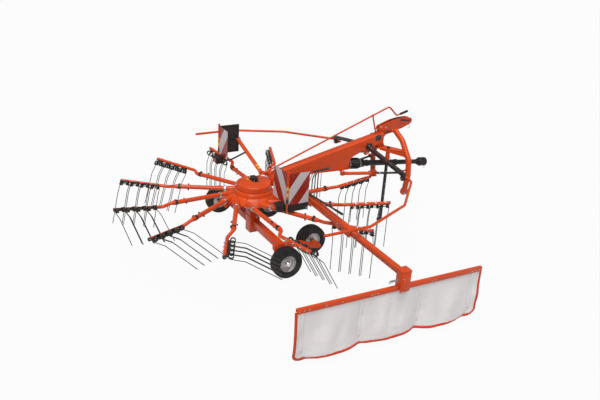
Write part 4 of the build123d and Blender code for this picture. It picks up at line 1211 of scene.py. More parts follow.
        # Spring pin with its ring through the end, and two bolts of the foot
        end = out + side * 0.088
        kit.tube([(foot_x, end, foot - 0.055), (foot_x, end, foot + 0.004)], 0.004, "zinc", 8)
        kit.tube([(foot_x, end, foot + 0.002), (2.385, end, foot - 0.005), (2.388, end, foot - 0.035),
                  (foot_x, end, foot - 0.052)], 0.0022, "zinc", 6, 0.02)
        for x in (foot_x - 0.035, foot_x + 0.035):
            kit.bolt((x, y + side * 0.012, foot + 0.028), (0, side, 0))
    kit.done("orange_paint", "link_feet", smooth=38)


# Drive shaft, stabilisers and stand

def make_drive(settings):
    """Ribbed bellows at the boom, the guarded shaft and the round guard at the tractor's end."""
    rear, along = shaft_rear, (shaft_front - shaft_rear).normalized()
    kit = Kit("bellows", "frame", "plastic", "zinc")
    profile = [(0.046, -0.009), (0.078, -0.009), (0.084, -0.004), (0.084, 0.016)]
    for k in range(8):
        start = 0.022 + 0.0205 * k
        profile += [(0.078, start), (0.085, start + 0.006), (0.085, start + 0.012),
                    (0.078, start + 0.018)]
    profile += [(0.074, 0.192), (0.074, 0.212), (0.068, 0.226), (0.062, 0.25), (0.060, 0.289),
                (0.046, 0.2895)]
    kit.turned(rear, along, profile, "plastic", 40, True)
    for low, high, radius in ((0.0, 0.014, 0.0845), (0.194, 0.208, 0.075)):
        kit.turned(rear, along,
                   [(radius - 0.001, low), (radius + 0.0022, low + 0.001),
                    (radius + 0.0022, high - 0.001), (radius - 0.001, high)], "zinc", 40, True)
        kit.box(rear + along * (low + high) / 2 + Vector((0, -0.03, radius * 0.93)),
                (0.012, 0.03, 0.008), "zinc")
    kit.done("black_plastic", "input_guard", smooth=50)

    kit = Kit("guarded_shaft", "drive", "plastic", "zinc")
    kit.turned(rear, along,
               [(0, 0.012), (0.044, 0.012), (0.044, 0.34), (0.050, 0.346), (0.050, 0.372),
                (0.0435, 0.378), (0.0435, 0.90), (0.049, 0.906), (0.049, 0.935), (0.038, 0.940),
                (0.036, 1.34), (0.036, 1.372), (0, 1.372)], "plastic", 32)
    # The end guard: a collar and a bowl with seven lobes
    guard = (shaft_front - shaft_rear).length - 0.130
    kit.turned(rear, along,
               [(0.030, guard - 0.04), (0.047, guard - 0.036), (0.050, guard - 0.006),
                (0.0655, guard + 0.004), (0.0675, guard + 0.020), (0.0665, guard + 0.060),
                (0.060, guard + 0.070), (0.060, guard + 0.080), (0.066, guard + 0.088),
                (0.0665, guard + 0.120), (0.062, guard + 0.1295), (0.040, guard + 0.1298),
                (0.036, guard + 0.112), (0.0175, guard + 0.110), (0.0175, guard + 0.052),
                (0.030, guard + 0.05)], "plastic", 36, True)
    across, up = frame_along(along)
    for k in range(7):
        a = tau * k / 7
        way = across * cos(a) + up * sin(a)
        for far in (0.030, 0.104):
            spot = rear + along * (guard + far) + way * 0.0655
            kit.turned(spot - along * 0.014, along,
                       [(0, 0), (0.007, 0), (0.0075, 0.004), (0.0075, 0.024), (0.007, 0.028),
                        (0, 0.028)], "plastic", 8)
    # Holding chain in a small loop below the guard
    spot = rear + along * (guard + 0.03)
    loop = [spot + Vector((0, -0.064, -0.03)), spot + Vector((0.02, -0.072, -0.075)),
            spot + Vector((0.055, -0.066, -0.09)), spot + Vector((0.085, -0.05, -0.066)),
            spot + Vector((0.09, -0.045, -0.045))]
    kit.tube(loop, 0.0035, "zinc", 6, 0.03)
    kit.done("black_plastic", "drive_shaft", smooth=50)

    for side, name in ((-1, "right"), (1, "left")):
        back = Vector((stay_rear_x, side * stay_rear_y, stay_z))
        fore = Vector((stay_front_x, side * stay_front_y, stay_z))
        way = (fore - back).normalized()
        across = Vector((-way.y, way.x, 0))
        kit = Kit(f"stabiliser_tube_{name}", f"stay_tube_{name}", "paint", "zinc")
        kit.turned(back - Vector((0, 0, 0.0245)), (0, 0, 1),
                   [(0.0102, 0), (0.031, 0), (0.034, 0.003), (0.034, 0.046), (0.031, 0.049),
                    (0.0102, 0.049)], "paint", 28, True)
        kit.turned(back, way,
                   [(0, 0.026), (0.025, 0.026), (0.025, 0.485), (0.029, 0.488), (0.029, 0.517),
                    (0.0265, 0.52), (0.0172, 0.52), (0.0172, 0.46), (0, 0.455)], "paint", 24)
        for far in (0.07, 0.43):
            kit.bolt(back + way * far + Vector((0, 0, 0.0245)), (0, 0, 1), 0.0085)
        # Lock plates at the open end
        for high in (0.034, -0.034):
            spot = back + way * 0.49 + Vector((0, 0, high))
            kit.box(spot, (0.07, 0.078, 0.007), "paint",
                    Matrix((way, across, Vector((0, 0, 1)))).transposed(), 0.006)
            outside = Vector((0, 0, 1 if high > 0 else -1))
            for far in (-0.026, 0.026):
                kit.bolt(spot + across * far + outside * 0.0035, outside, 0.008)
        kit.done("orange_paint", f"stay_tube_{name}", smooth=40)
        kit = Kit(f"stabiliser_rod_{name}", f"stay_rod_{name}", "black", "zinc")
        reach = (fore - back).length
        kit.turned(back, way, [(0, 0.262), (0.0165, 0.262), (0.0168, 0.27), (0.0168, reach - 0.035),
                               (0, reach - 0.035)], "black", 22)
        kit.turned(back, way, [(0.0165, 0.56), (0.021, 0.562), (0.021, 0.585), (0.0165, 0.587)], "zinc",
                   22, True)
        kit.turned(fore - Vector((0, 0, 0.0165)), (0, 0, 1),
                   [(0.0282, 0), (0.036, 0), (0.038, 0.002), (0.038, 0.031), (0.036, 0.033),
                    (0.0282, 0.033)], "black", 30, True)
        kit.done("black_paint", f"stay_rod_{name}", smooth=40)

    x, y = settings.stand_x, settings.stand_y
    kit = Kit("parking_leg", "stand", "black", "zinc")
    kit.turned((x, y, 0.008), (0, 0, 1), [(0, 0), (0.0245, 0), (0.0248, 0.004), (0.0248, 1.200),
                                          (0.0225, 1.206), (0, 1.206)], "black", 24)
    kit.turned((x, y, 0.0005), (0, 0, 1), [(0, 0), (0.056, 0), (0.0595, 0.003), (0.0595, 0.0085),
                                           (0.05, 0.0098), (0, 0.0098)], "black", 36)
    for turn in range(3):
        a = tau * turn / 3 + 0.5
        kit.bar((x + 0.022 * cos(a), y + 0.022 * sin(a), 0.03),
                (x + 0.05 * cos(a), y + 0.05 * sin(a), 0.0115), 0.006, 0.012, "black", 0.001)
    for high in range(6):
        kit.turned((x, y - 0.0243, 0.42 + 0.1 * high), (0, -1, 0),
                   [(0, 0), (0.007, 0), (0.0065, 0.0008), (0, 0.001)], "zinc", 14)
    kit.done("black_paint", "stand_leg", smooth=40)


# Guard rails

def make_guard_rails():
    """Black channel from the boom's nose to each rail's pin, and the bent rails."""
    kit = Kit("rail_channels", "frame", "black", "zinc", "paint")
    for side in (-1, 1):
        # Flat top of the channel, its two flanges and the holes down the web
        root, knee = Vector((1.840, side * 0.072, 1.247)), Vector((1.880, side * 0.900, 1.097))
        way = (knee - root).normalized()
        across = Vector((0, 0, 1)).cross(way).normalized()
        up = way.cross(across)
        kit.bar(root, knee, 0.072, 0.007, "black", 0.002)
        for edge in (-1, 1):
            shift = across * edge * 0.0330 - up * 0.018
            kit.bar(root + shift, knee + shift, 0.006, 0.040, "black", 0.002)
        reach = (knee - root).length
        for k in range(6):
            spot = root + way * (reach * (0.16 + 0.13 * k)) + up * 0.0035
            kit.turned(spot, up, rod(0.0085, 0.0006), "paint", 14)
        kit.bolt(root + way * 0.04 + up * 0.0035, up, 0.010)
        kit.bolt(root + way * 0.09 + up * 0.0035, up, 0.010)
        # Drop plate with the pin and its nut
        kit.plate(soft_corner([(1.872, 0.976), (1.929, 0.976), (1.929, 1.08), (1.918, 1.098),
                               (1.872, 1.098)], 0.012), side * rail_pin_y, 0.046, "black", 0.004)
        y, z = side * rail_pin_y, rail_pin_z
        kit.tube([(1.885, y, z), (1.996, y, z)], 0.0088, "zinc", 16)
        kit.bolt((1.8725, y, z), (-1, 0, 0), 0.013)
        kit.bolt((1.988, y, z), (1, 0, 0), 0.011)
        kit.box((1.866, side * 0.085, 1.240), (0.085, 0.028, 0.07), "black", None, 0.004)
    kit.done("black_paint", "rail_brackets", smooth=38)
    # Each rail: its bent tube, the eye on the pin, the square root and the cap at its end
    route = ((1.957, 0.893), (1.957, 1.010), (1.345, 1.640), (0.565, 1.990), (-0.078, 1.990))
    for side, name in ((-1, "right"), (1, "left")):
        kit = Kit(f"guard_tube_{name}", f"guard_rail_{name}", "paint")
        kit.tube([(x, side * y, rail_pin_z) for x, y in route], 0.018, "paint", 18, 0.11)
        kit.turned((1.9355, side * rail_pin_y, rail_pin_z), (1, 0, 0),
                   [(0.0098, 0), (0.024, 0), (0.025, 0.002), (0.025, 0.047), (0.024, 0.049),
                    (0.0098, 0.049)], "paint", 28, True)
        kit.bar((1.957, side * 0.90, rail_pin_z), (1.957, side * 0.965, rail_pin_z), 0.036, 0.044,
                "paint", 0.006)
        x, y = route[-1]
        kit.turned((x, side * y, rail_pin_z), (-1, 0, 0),
                   [(0, 0), (0.0182, 0), (0.0182, 0.003), (0, 0.008)], "paint", 20)
        kit.done("orange_paint", f"guard_rail_{name}", smooth=40)


# Boards

def make_boards(settings):
    """Striped panels of the two boards, their corner posts, lamps and lenses."""
    # Each board's side, and its corner post's place: ahead, out from the middle, the panels' foot
    corners = ((-1, 0.090, 0.800, 0.860), (1, -0.100, 1.000, 1.000))
    rear_width = {-1: settings.rear_width, 1: settings.left_rear_width}
    bm = bmesh.new()
    measure = bm.loops.layers.uv.new("stripes")
    thick, rise = 0.004, settings.rise
    for side, x, y, z in corners:
        inward = -side
        # Each panel: its corner, the way it runs, its length, the face that has stripes, and
        # the slope, start and pitch of the stripes
        panels = ((Vector((x + thick / 2, side * y, z)), Vector((0, inward, 0)), rear_width[side],
                   Vector((-1, 0, 0)), (0.75, 0.05, settings.rear_stripe)),
                  (Vector((x, side * y + inward * thick / 2, z)), Vector((1, 0, 0)),
                   settings.side_width, Vector((0, side, 0)), (0.72, 0.015, settings.side_stripe)))
        for corner, way, width, shown, (slope, first, pitch) in panels:
            base = ground_point + corner
            order = ((0, 0), (1, 0), (1, 1), (0, 1))
            sheets = {}
            for facing in (-1, 1):
                sheets[facing] = [bm.verts.new(base + way * (u * width) + Vector((0, 0, v * rise))
                                               + shown * facing * thick * 0.6) for u, v in order]
            for facing in (-1, 1):
                face = bm.faces.new(sheets[facing])
                face.material_index = 0 if facing > 0 else 1
                for loop, (u, v) in zip(face.loops, order):
                    loop[measure].uv = ((u * width - v * rise * slope - first) / pitch, v)
            for k in range(4):
                face = bm.faces.new((sheets[-1][k], sheets[-1][(k + 1) % 4], sheets[1][(k + 1) % 4],
                                     sheets[1][k]))
                face.material_index = 1
    bmesh.ops.recalc_face_normals(bm, faces=bm.faces)
    for side, x, y, z in corners:
        # The corner post in its sections, with the two stickers and the black clip below them
        add_tube(bm, [from_axis(x, side * y, z - 0.03), from_axis(x, side * y, z + rise + 0.03)],
                 0.0145, 14, 2)
        for high in (0.15, 0.235):
            add_tube(bm, [from_axis(x, side * y, z + high - 0.022),
                          from_axis(x, side * y, z + high + 0.022)], 0.0155, 14, 3)
        add_tube(bm, [from_axis(x, side * y, z + 0.03), from_axis(x, side * y, z + 0.085)], 0.018, 14,
                 1)
        # Black frame round the back of each panel
        for low, high in ((0.006, 0.02), (rise - 0.02, rise - 0.006)):
            middle = z + (low + high) / 2
            add_box(bm, from_axis(x + 0.012, side * (y - rear_width[side] / 2), middle),
                    (0.014, rear_width[side] - 0.04, high - low), None, 1, 0.002)
            add_box(bm, from_axis(x + settings.side_width / 2, side * (y - 0.012), middle),
                    (settings.side_width - 0.04, 0.014, high - low), None, 1, 0.002)
        add_box(bm, from_axis(x + settings.side_width - 0.012, side * (y - 0.012), z + rise / 2),
                (0.014, 0.014, rise - 0.02), None, 1, 0.002)
        for u, v in ((0.2, 0.06), (0.85, 0.06), (0.2, 0.94), (0.85, 0.94)):
            add_bolt(bm, from_axis(x - 0.001, side * (y - u * rear_width[side]), z + v * rise),
                     (-1, 0, 0), 0.005, 4, False)
            add_bolt(bm, from_axis(x + u * settings.side_width, side * (y + 0.001), z + v * rise),
                     (0, side, 0), 0.005, 4, False)
    piece = mesh_piece("striped_boards", bm,
                       [finishes["stripes"], finishes["backing"], finishes["paint"], finishes["yellow"],
                        finishes["zinc"]], "frame", 30)
    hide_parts("warning_boards")

    kit = Kit("rear_lamps", "frame", "plastic", "red lens", "zinc", "paint")
    for side, x, y, z in corners:
        # The lamp's box under the rear panel, its rim, the round lens in its ring and the small one
        face, middle, level = x - 0.106, side * (y - 0.100), z - 0.0505
        kit.box((face + 0.057, middle, level), (0.114, 0.144, 0.099), "plastic", None, 0.009)
        kit.box((face + 0.003, middle, level), (0.010, 0.130, 0.086), "plastic", None, 0.003)
        kit.turned((face - 0.002, middle - side * 0.026, level), (-1, 0, 0),
                   [(0, 0), (0.036, 0), (0.036, 0.004), (0.031, 0.009), (0.016, 0.012), (0, 0.0125)],
                   "red lens")
        kit.turned((face - 0.0015, middle - side * 0.026, level), (-1, 0, 0),
                   [(0.0355, 0), (0.041, 0), (0.041, 0.005), (0.0355, 0.006)], "plastic", 28, True)
        kit.box((face - 0.003, middle + side * 0.042, level), (0.006, 0.034, 0.06), "plastic")
        kit.tube([(x + 0.006, middle, z - 0.09), (x + 0.04, middle, z - 0.1),
                  (x + 0.08, middle + side * 0.03, z - 0.06)], 0.005, "plastic", 8, 0.03)
    # The long dark box under the right board's side panel, its ribs, bolts and post
    side, x, y, z = corners[0]
    middle, level = x + 0.174, z - 0.0527
    kit.box((middle, side * (y - 0.035), level), (0.292, 0.07, 0.1045), "plastic", None, 0.008)
    kit.box((middle, side * (y + 0.001), level), (0.272, 0.006, 0.088), "plastic")
    for along in (-0.124, 0, 0.124):
        kit.box((middle + along, side * (y + 0.003), level), (0.006, 0.006, 0.094), "plastic", None,
                0.001)
    kit.bolt((x + 0.292, side * (y + 0.002), z - 0.075), (0, side, 0))
    kit.tube([(x, side * y, z - 0.035), (x, side * y, z - 0.1)], 0.013, "paint", 12)
    kit.bolt((x + 0.012, side * (y + 0.002), z - 0.108), (0, side, 0))
    kit.done("black_plastic", "board_lamps")


def make_board_carriers():
    """Wide bar with its hook, stickers and dark tube under the left board, and the right one's bar."""
    kit = Kit("left_post", "frame", "paint", "black", "yellow", "zinc")
    foot, knee = Vector((0.40, 0.088, 0.905)), Vector((0.233, 0.245, 0.925))
    top = Vector((0.188, 0.916, 1.1935))
    kit.bar(foot, knee, 0.028, 0.052, "paint", 0.004)
    kit.bar(knee + Vector((0, -0.02, -0.008)), top, 0.058, 0.026, "paint", 0.005)
    kit.box((knee.x, knee.y, knee.z - 0.004), (0.062, 0.055, 0.045), "paint", None, 0.008)
    way = (top - knee).normalized()
    up = (Vector((0, 0, 1)) - way * way.z).normalized()
    for share in (0.12, 0.20):
        spot = knee + (top - knee) * share + up * 0.0135
        kit.bar(spot - way * 0.018, spot + way * 0.018, 0.040, 0.0014, "yellow", 0)
    kit.box(top + Vector((0, 0.030, 0.004)), (0.056, 0.075, 0.040), "paint", None, 0.006)
    kit.tube([top + Vector((0.0, -0.01, 0.02)), top + Vector((0.012, -0.012, 0.055)),
              top + Vector((-0.012, -0.012, 0.06))], 0.006, "paint", 10, 0.02)
    kit.bolt(top + up * 0.014, up, 0.012)
    # Dark tube from the board's foot to the post, and the thin prop above it
    low = knee + (top - knee) * 0.66 - up * 0.012
    kit.tube([(-0.09, 0.86, 0.955), (0.02, 0.82, 0.95), low], 0.0125, "black", 14, 0.04)
    kit.tube([top + Vector((-0.02, 0.02, 0.0)), (0.06, 0.985, 1.26)], 0.006, "black", 8)
    kit.done("orange_paint", "left_board_post", smooth=38)

    kit = Kit("right_bar", "frame", "paint", "zinc")
    kit.bar((0.4215, -0.252, 0.900), (0.104, -0.789, 0.888), 0.028, 0.027, "paint")
    kit.box((0.4215, -0.252, 0.8935), (0.056, 0.056, 0.027), "paint", None, 0.003)
    kit.box((0.108, -0.782, 0.888), (0.03, 0.03, 0.05), "paint", None, 0.003)
    kit.bolt((0.4215, -0.252, 0.914), (0, 0, 1))
    kit.done("orange_paint", "right_board_bar", smooth=38)


# Stage

def make_stage(settings):
    """Floor, light and the camera that matches the photograph."""
    scene = bpy.context.scene
    world = bpy.data.worlds.new("studio")
    scene.world = world
    world.use_nodes = True
    nodes, links = world.node_tree.nodes, world.node_tree.links
    background = nodes["Background"]
    background.inputs["Color"].default_value = (1, 1, 1, 1)
    path = nodes.new("ShaderNodeLightPath")
    seen = nodes.new("ShaderNodeMath")
    seen.operation = "MAXIMUM"
    links.new(path.outputs["Is Camera Ray"], seen.inputs[0])
    links.new(path.outputs["Is Transmission Ray"], seen.inputs[1])
    strength = nodes.new("ShaderNodeMapRange")
    strength.inputs["To Min"].default_value = settings.fill
    strength.inputs["To Max"].default_value = 1.0
    links.new(seen.outputs[0], strength.inputs["Value"])
    links.new(strength.outputs["Result"], background.inputs["Strength"])

    # Two soft suns: how each is turned, in degrees, its power, and how wide it is in the sky
    suns = (("top light", (12, -8, 0), settings.top_light, 35),
            ("front light", (52, 0, -38), settings.front_light, 30))
    for name, turn, power, size in suns:
        sun = bpy.data.lights.new(name, "SUN")
        sun.energy = power
        sun.angle = radians(size)
        lamp = bpy.data.objects.new(name, sun)
        lamp.rotation_euler = Euler([radians(degrees) for degrees in turn])
        scene.collection.objects.link(lamp)

    floor_mesh = bpy.data.meshes.new("floor")
    bm = bmesh.new()
    bmesh.ops.create_grid(bm, x_segments=1, y_segments=1, size=60)
    bm.to_mesh(floor_mesh)
    bm.free()
    floor = bpy.data.objects.new("floor", floor_mesh)
    scene.collection.objects.link(floor)
    floor_mesh.materials.append(floor_finish(settings))

    camera = bpy.data.cameras.new("camera")
    camera.sensor_width = 36
    camera.lens = settings.lens
    camera.clip_end = 200
    view = bpy.data.objects.new("camera", camera)
    azimuth, elevation = settings.azimuth, settings.elevation
    back = Vector((sin(azimuth) * cos(elevation), -cos(azimuth) * cos(elevation), sin(elevation)))
    aim = from_axis(*settings.aim)
    right = Vector((0, 0, 1)).cross(back).normalized()
    up = back.cross(right)
    turned_right = right * cos(settings.roll) + up * sin(settings.roll)
    turned_up = up * cos(settings.roll) - right * sin(settings.roll)
    basis = Matrix((turned_right, turned_up, back)).transposed()
    view.matrix_world = Matrix.Translation(aim + back * settings.distance) @ basis.to_4x4()
    scene.collection.objects.link(view)
    scene.camera = view
    scene.view_settings.view_transform = "Standard"


def floor_finish(settings):
    """White floor: it shows white itself and keeps a soft shadow under the rake."""
    material, nodes, links, shader = finish("floor", (0.42, 0.41, 0.41), 0.9)
    cloud = nodes.new("ShaderNodeTexNoise")
    cloud.inputs["Scale"].default_value = 0.4
    links.new(surface_point(nodes), cloud.inputs["Vector"])
    white = nodes.new("ShaderNodeEmission")
    white.inputs["Strength"].default_value = 1.0
    path = nodes.new("ShaderNodeLightPath")
    share = nodes.new("ShaderNodeMath")
    share.operation = "MULTIPLY"
    share.inputs[1].default_value = settings.floor_glow
    either = nodes.new("ShaderNodeMath")
    either.operation = "MAXIMUM"
    links.new(path.outputs["Is Camera Ray"], either.inputs[0])
    links.new(path.outputs["Is Glossy Ray"], either.inputs[1])
    links.new(either.outputs[0], share.inputs[0])
    mix = nodes.new("ShaderNodeMixShader")
    links.new(share.outputs[0], mix.inputs["Fac"])
    links.new(shader.outputs["BSDF"], mix.inputs[1])
    links.new(white.outputs["Emission"], mix.inputs[2])
    links.new(mix.outputs["Shader"], nodes["Material Output"].inputs["Surface"])
    return material


# Settings

def length(name, description, default):
    """A size in metres."""
    return bpy.props.FloatProperty(name=name, description=description, default=default, unit="LENGTH",
                                   min=0)


def number(name, description, default):
    return bpy.props.FloatProperty(name=name, description=description, default=default)


def colour(name, description, default):
    return bpy.props.FloatVectorProperty(name=name, description=description, default=default,
                                         subtype="COLOR", min=0, max=1)


def angle(name, description, default):
    return bpy.props.FloatProperty(name=name, description=description, default=default, subtype="ANGLE")


class RakeColours(bpy.types.PropertyGroup):
    paint: colour("Paint", "Main coat of the frame, arms and boom", (0.60, 0.060, 0.007))
    black: colour("Black", "Black brackets and guards", (0.022, 0.018, 0.017))
    tine: colour("Tines", "Spring steel of the tines", (0.032, 0.026, 0.024))
    zinc: colour("Zinc", "Bolts, rings and pins", (0.5, 0.49, 0.5))
    rubber: colour("Rubber", "Tyres", (0.018, 0.016, 0.016))
    rim: colour("Rim", "Wheel rims", (0.44, 0.41, 0.41))
    cloth: colour("Cloth", "Swath curtain", (0.76, 0.72, 0.72))
    hem: colour("Hem", "Tape round the curtain", (0.58, 0.043, 0.006))
    board_white: colour("Board white", "Pale stripes", (0.55, 0.50, 0.51))
    board_red: colour("Board red", "Red stripes", (0.29, 0.020, 0.009))


class RakeRotor(bpy.types.PropertyGroup):
    first_angle: number("First angle", "Degrees from ahead to the arm before the first", 62.443)
    side_step: length("Side step", "How far each arm's line passes the axis", 0.215)
    arm_tube: length("Arm tube", "Diameter of the arm", 0.062)
    tine_bar: length("Tine bar", "Diameter of the bar that carries the tines", 0.046)
    arm_root: length("Arm root", "Where the arm leaves its socket", 0.411)
    lug_at: length("Lugs", "The pair of lugs on the tube", 0.93)
    band_at: length("Band", "Middle of the black clamp band", 1.059)
    crank_start: length("Crank start", "Where the tube steps up", 1.112)
    crank_end: length("Crank end", "Where the tine bar begins", 1.228)
    crank_ahead: length("Crank ahead", "How far the tine bar starts ahead of the tube", 0.079)
    crank_rise: length("Crank rise", "How far the tine bar starts above the tube", 0.036)
    crank_lift: length("Crank lift", "How far the tine bar ends above the tube", 0.062)
    arm_tip: length("Arm tip", "End of the tine bar", 1.890)
    tine_pitch: length("Tine pitch", "Step from one double tine to the next", 0.140)
    end_step: length("End step", "From the bar's tip to the middle of the last double tine", 0.066)
    leg_space: length("Leg space", "Between the two legs of a double tine", 0.084)
    tine_wire: length("Tine wire", "Diameter of the wire", 0.0102)
    coil_diameter: length("Coil", "Outer diameter of a coil", 0.071)
    coil_away: length("Coil away", "From the bar's centre to the coil's", 0.076)
    coil_lean: number("Coil lean", "Degrees that the coils sit behind the bar", 38)
    coil_turns: number("Coil turns", "Turns in each coil", 3.75)
    kick: number("Kick", "Degrees that the first run leans back", 19)
    first_run: length("First run", "From the coil to the bend", 0.170)
    second_run: length("Second run", "From the bend to the tip", 0.480)


class RakeHub(bpy.types.PropertyGroup):
    cover_radius: length("Cover radius", "Edge of the gear cover", 0.245)
    cover_bottom: length("Cover bottom", "Lower edge of the gear cover", 0.828)
    cover_shoulder: length("Cover shoulder", "Where the cover's dome begins", 0.905)
    cover_top: length("Cover top", "Flat of the cover, under the crank's gearbox", 0.932)
    hub_top: length("Hub top", "Upper face of the turning hub", 0.822)


class RakeBoom(bpy.types.PropertyGroup):
    rear_x: length("Rear", "Rear end, ahead of the rotor's axis", 0.410)
    front_x: length("Front", "Front end of the nose", 2.130)
    rear_top: length("Rear top", "Height of the upper edge at the rear", 1.030)
    front_top: length("Front top", "Height of the upper edge at the nose", 1.415)
    width: length("Width", "Across the boom", 0.140)
    wall: length("Wall", "Thickness of the sheet", 0.008)
    pin_x: length("Pin", "The headstock's upright pin", 2.090)


class RakeHeadstock(bpy.types.PropertyGroup):
    pin_x: length("Pin", "The headstock's upright pin", 2.090)
    stand_x: length("Stand, ahead", "The stand leg's place along the rake", 2.170)
    stand_y: bpy.props.FloatProperty(name="Stand, left",
                                     description="The stand leg's place across the rake",
                                     default=-0.150, unit="LENGTH")


class RakeWheels(bpy.types.PropertyGroup):
    radius: length("Radius", "Outer radius of a tyre", 0.207)
    width: length("Width", "Width of a tyre", 0.165)
    rim_radius: length("Rim radius", "Radius where tyre and rim meet", 0.115)
    ribs: bpy.props.IntProperty(name="Ribs", description="Ribs across the tread", default=6, min=2)
    groove: length("Groove", "Depth of the tread's grooves", 0.006)


class RakeCurtain(bpy.types.PropertyGroup):
    length: length("Length", "Along the rail", 2.4)
    height: length("Height", "From the rail to the hem", 0.59)
    rear_share: number("Rear share", "Share of the cloth behind the arm", 0.535)
    reach: length("Reach", "From the fold to the cloth", 2.42)
    fullness: length("Fullness", "How far the cloth stands out between its battens", 0.085)
    hem: length("Hem", "Width of the tape round the cloth", 0.034)
    corner: length("Corner", "Radius of the lower corners", 0.075)
    sleeve: length("Sleeve", "Width of the square sleeve", 0.080)
    inner: length("Inner arm", "Width of the square inner arm", 0.066)
    sleeve_reach: length("Sleeve reach", "From the fold to the sleeve's mouth", 1.380)


class RakeBoards(bpy.types.PropertyGroup):
    rear_width: length("Rear width", "Panel that faces back", 0.39)
    left_rear_width: length("Left rear width", "Left board's panel that faces back", 0.31)
    side_width: length("Side width", "Panel that faces sideways", 0.32)
    rise: length("Rise", "Height of the panels", 0.43)
    rear_stripe: length("Rear stripe", "Pitch of a red and a pale stripe on the rear panel", 0.366)
    side_stripe: length("Side stripe", "Pitch of a red and a pale stripe on the side panel", 0.305)


class RakeStage(bpy.types.PropertyGroup):
    azimuth: angle("Azimuth", "Camera's bearing, 0 looks to the left side", radians(-31.0))
    elevation: angle("Elevation", "Camera's height above the horizon", radians(23.28))
    roll: angle("Roll", "Camera's roll", radians(3.607))
    distance: length("Distance", "From the camera to what it looks at", 9.07515)
    lens: number("Lens", "Focal length in millimetres", 38.8347)
    aim: bpy.props.FloatVectorProperty(
        name="Aim", description="What the camera looks at, from the rotor's axis", unit="LENGTH",
        default=(0.560716, -0.336912, 0.67375))
    fill: number("Fill", "Light from all round", 0.30)
    top_light: number("Top light", "Soft sun from above", 2.25)
    front_light: number("Front light", "Soft sun from the camera's side", 1.25)
    floor_glow: number("Floor glow", "How white the floor shows", 0.94)


class RakeSettings(bpy.types.PropertyGroup):
    colours: bpy.props.PointerProperty(type=RakeColours)
    rotor: bpy.props.PointerProperty(type=RakeRotor)
    hub: bpy.props.PointerProperty(type=RakeHub)
    boom: bpy.props.PointerProperty(type=RakeBoom)
    headstock: bpy.props.PointerProperty(type=RakeHeadstock)
    wheels: bpy.props.PointerProperty(type=RakeWheels)
    curtain: bpy.props.PointerProperty(type=RakeCurtain)
    boards: bpy.props.PointerProperty(type=RakeBoards)
    stage: bpy.props.PointerProperty(type=RakeStage)


# Operators

class RakeOperator:
    bl_options = {"REGISTER", "UNDO"}

    @staticmethod
    def settings(context):
        return context.scene.hay_rake


class RAKE_OT_finishes(RakeOperator, bpy.types.Operator):
    """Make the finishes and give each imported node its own"""
    bl_idname = "hay_rake.finishes"
    bl_label = "Finishes"

    def execute(self, context):
        make_finishes(self.settings(context).colours)
        dress_nodes()
        return {"FINISHED"}


class RAKE_OT_arms(RakeOperator, bpy.types.Operator):
    """Build the twelve tine arms"""
    bl_idname = "hay_rake.arms"
    bl_label = "Tine arms"

    def execute(self, context):
        make_arms(self.settings(context).rotor)
        return {"FINISHED"}


class RAKE_OT_tines(RakeOperator, bpy.types.Operator):
    """Build the double spring tines of all arms"""
    bl_idname = "hay_rake.tines"
    bl_label = "Spring tines"

    def execute(self, context):
        make_tines(self.settings(context).rotor)
        return {"FINISHED"}


class RAKE_OT_hub(RakeOperator, bpy.types.Operator):
    """Build the hub, the gear cover and the crank's gearbox"""
    bl_idname = "hay_rake.hub"
    bl_label = "Hub and cover"

    def execute(self, context):
        settings = self.settings(context)
        make_hub(settings.hub, settings.rotor)
        return {"FINISHED"}


class RAKE_OT_boom(RakeOperator, bpy.types.Operator):
    """Build the boom and the height crank"""
    bl_idname = "hay_rake.boom"
    bl_label = "Boom and crank"

    def execute(self, context):
        make_boom(self.settings(context).boom)
        return {"FINISHED"}


class RAKE_OT_headstock(RakeOperator, bpy.types.Operator):
    """Build the headstock's plates, channels and pins"""
    bl_idname = "hay_rake.headstock"
    bl_label = "Headstock"

    def execute(self, context):
        make_headstock(self.settings(context).headstock)
        return {"FINISHED"}


class RAKE_OT_drive(RakeOperator, bpy.types.Operator):
    """Build the bellows, drive shaft, stabilisers and stand leg"""
    bl_idname = "hay_rake.drive"
    bl_label = "Drive, stabilisers and stand"

    def execute(self, context):
        make_drive(self.settings(context).headstock)
        return {"FINISHED"}


class RAKE_OT_guard_rails(RakeOperator, bpy.types.Operator):
    """Build the guard rails and the brackets that carry them"""
    bl_idname = "hay_rake.guard_rails"
    bl_label = "Guard rails"

    def execute(self, context):
        make_guard_rails()
        return {"FINISHED"}


class RAKE_OT_wheels(RakeOperator, bpy.types.Operator):
    """Build the tyres, rims and tandem arms"""
    bl_idname = "hay_rake.wheels"
    bl_label = "Wheels and tandem arms"

    def execute(self, context):
        make_wheels(self.settings(context).wheels)
        make_tandems(self.settings(context).wheels)
        return {"FINISHED"}


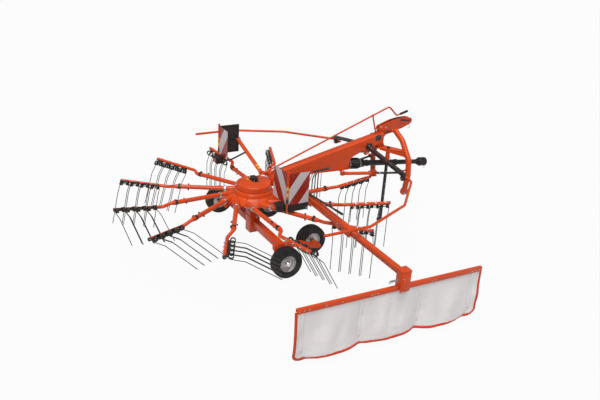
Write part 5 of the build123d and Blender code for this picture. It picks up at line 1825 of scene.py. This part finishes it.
class RAKE_OT_curtain(RakeOperator, bpy.types.Operator):
    """Hang the swath curtain and build the arm that carries it"""
    bl_idname = "hay_rake.curtain"
    bl_label = "Swath curtain"

    def execute(self, context):
        make_curtain(self.settings(context).curtain)
        make_curtain_arm(self.settings(context).curtain)
        return {"FINISHED"}


class RAKE_OT_boards(RakeOperator, bpy.types.Operator):
    """Build the striped warning boards, their lamps and what carries them"""
    bl_idname = "hay_rake.boards"
    bl_label = "Warning boards"

    def execute(self, context):
        make_boards(self.settings(context).boards)
        make_board_carriers()
        return {"FINISHED"}


class RAKE_OT_stage(RakeOperator, bpy.types.Operator):
    """Set the floor, the light and the camera"""
    bl_idname = "hay_rake.stage"
    bl_label = "Stage"

    def execute(self, context):
        make_stage(self.settings(context).stage)
        return {"FINISHED"}


steps = (RAKE_OT_finishes, RAKE_OT_arms, RAKE_OT_tines, RAKE_OT_hub, RAKE_OT_boom, RAKE_OT_headstock,
         RAKE_OT_drive, RAKE_OT_guard_rails, RAKE_OT_wheels, RAKE_OT_curtain, RAKE_OT_boards,
         RAKE_OT_stage)


class RAKE_PT_panel(bpy.types.Panel):
    """Lists the rake's pieces"""
    bl_idname = "RAKE_PT_panel"
    bl_label = "Hay Rake"
    bl_space_type = "VIEW_3D"
    bl_region_type = "UI"
    bl_category = "Hay Rake"

    def draw(self, context):
        for step in steps:
            self.layout.operator(step.bl_idname)


classes = (RakeColours, RakeRotor, RakeHub, RakeBoom, RakeHeadstock, RakeWheels, RakeCurtain,
           RakeBoards, RakeStage, RakeSettings, *steps, RAKE_PT_panel)


def register():
    for cls in classes:
        bpy.utils.register_class(cls)
    bpy.types.Scene.hay_rake = bpy.props.PointerProperty(type=RakeSettings)


def unregister():
    del bpy.types.Scene.hay_rake
    for cls in reversed(classes):
        bpy.utils.unregister_class(cls)


def main():
    """Build everything in order."""
    register()
    for step in steps:
        group, name = step.bl_idname.split(".")
        getattr(getattr(bpy.ops, group), name)()


if __name__ == "__main__":
    main()
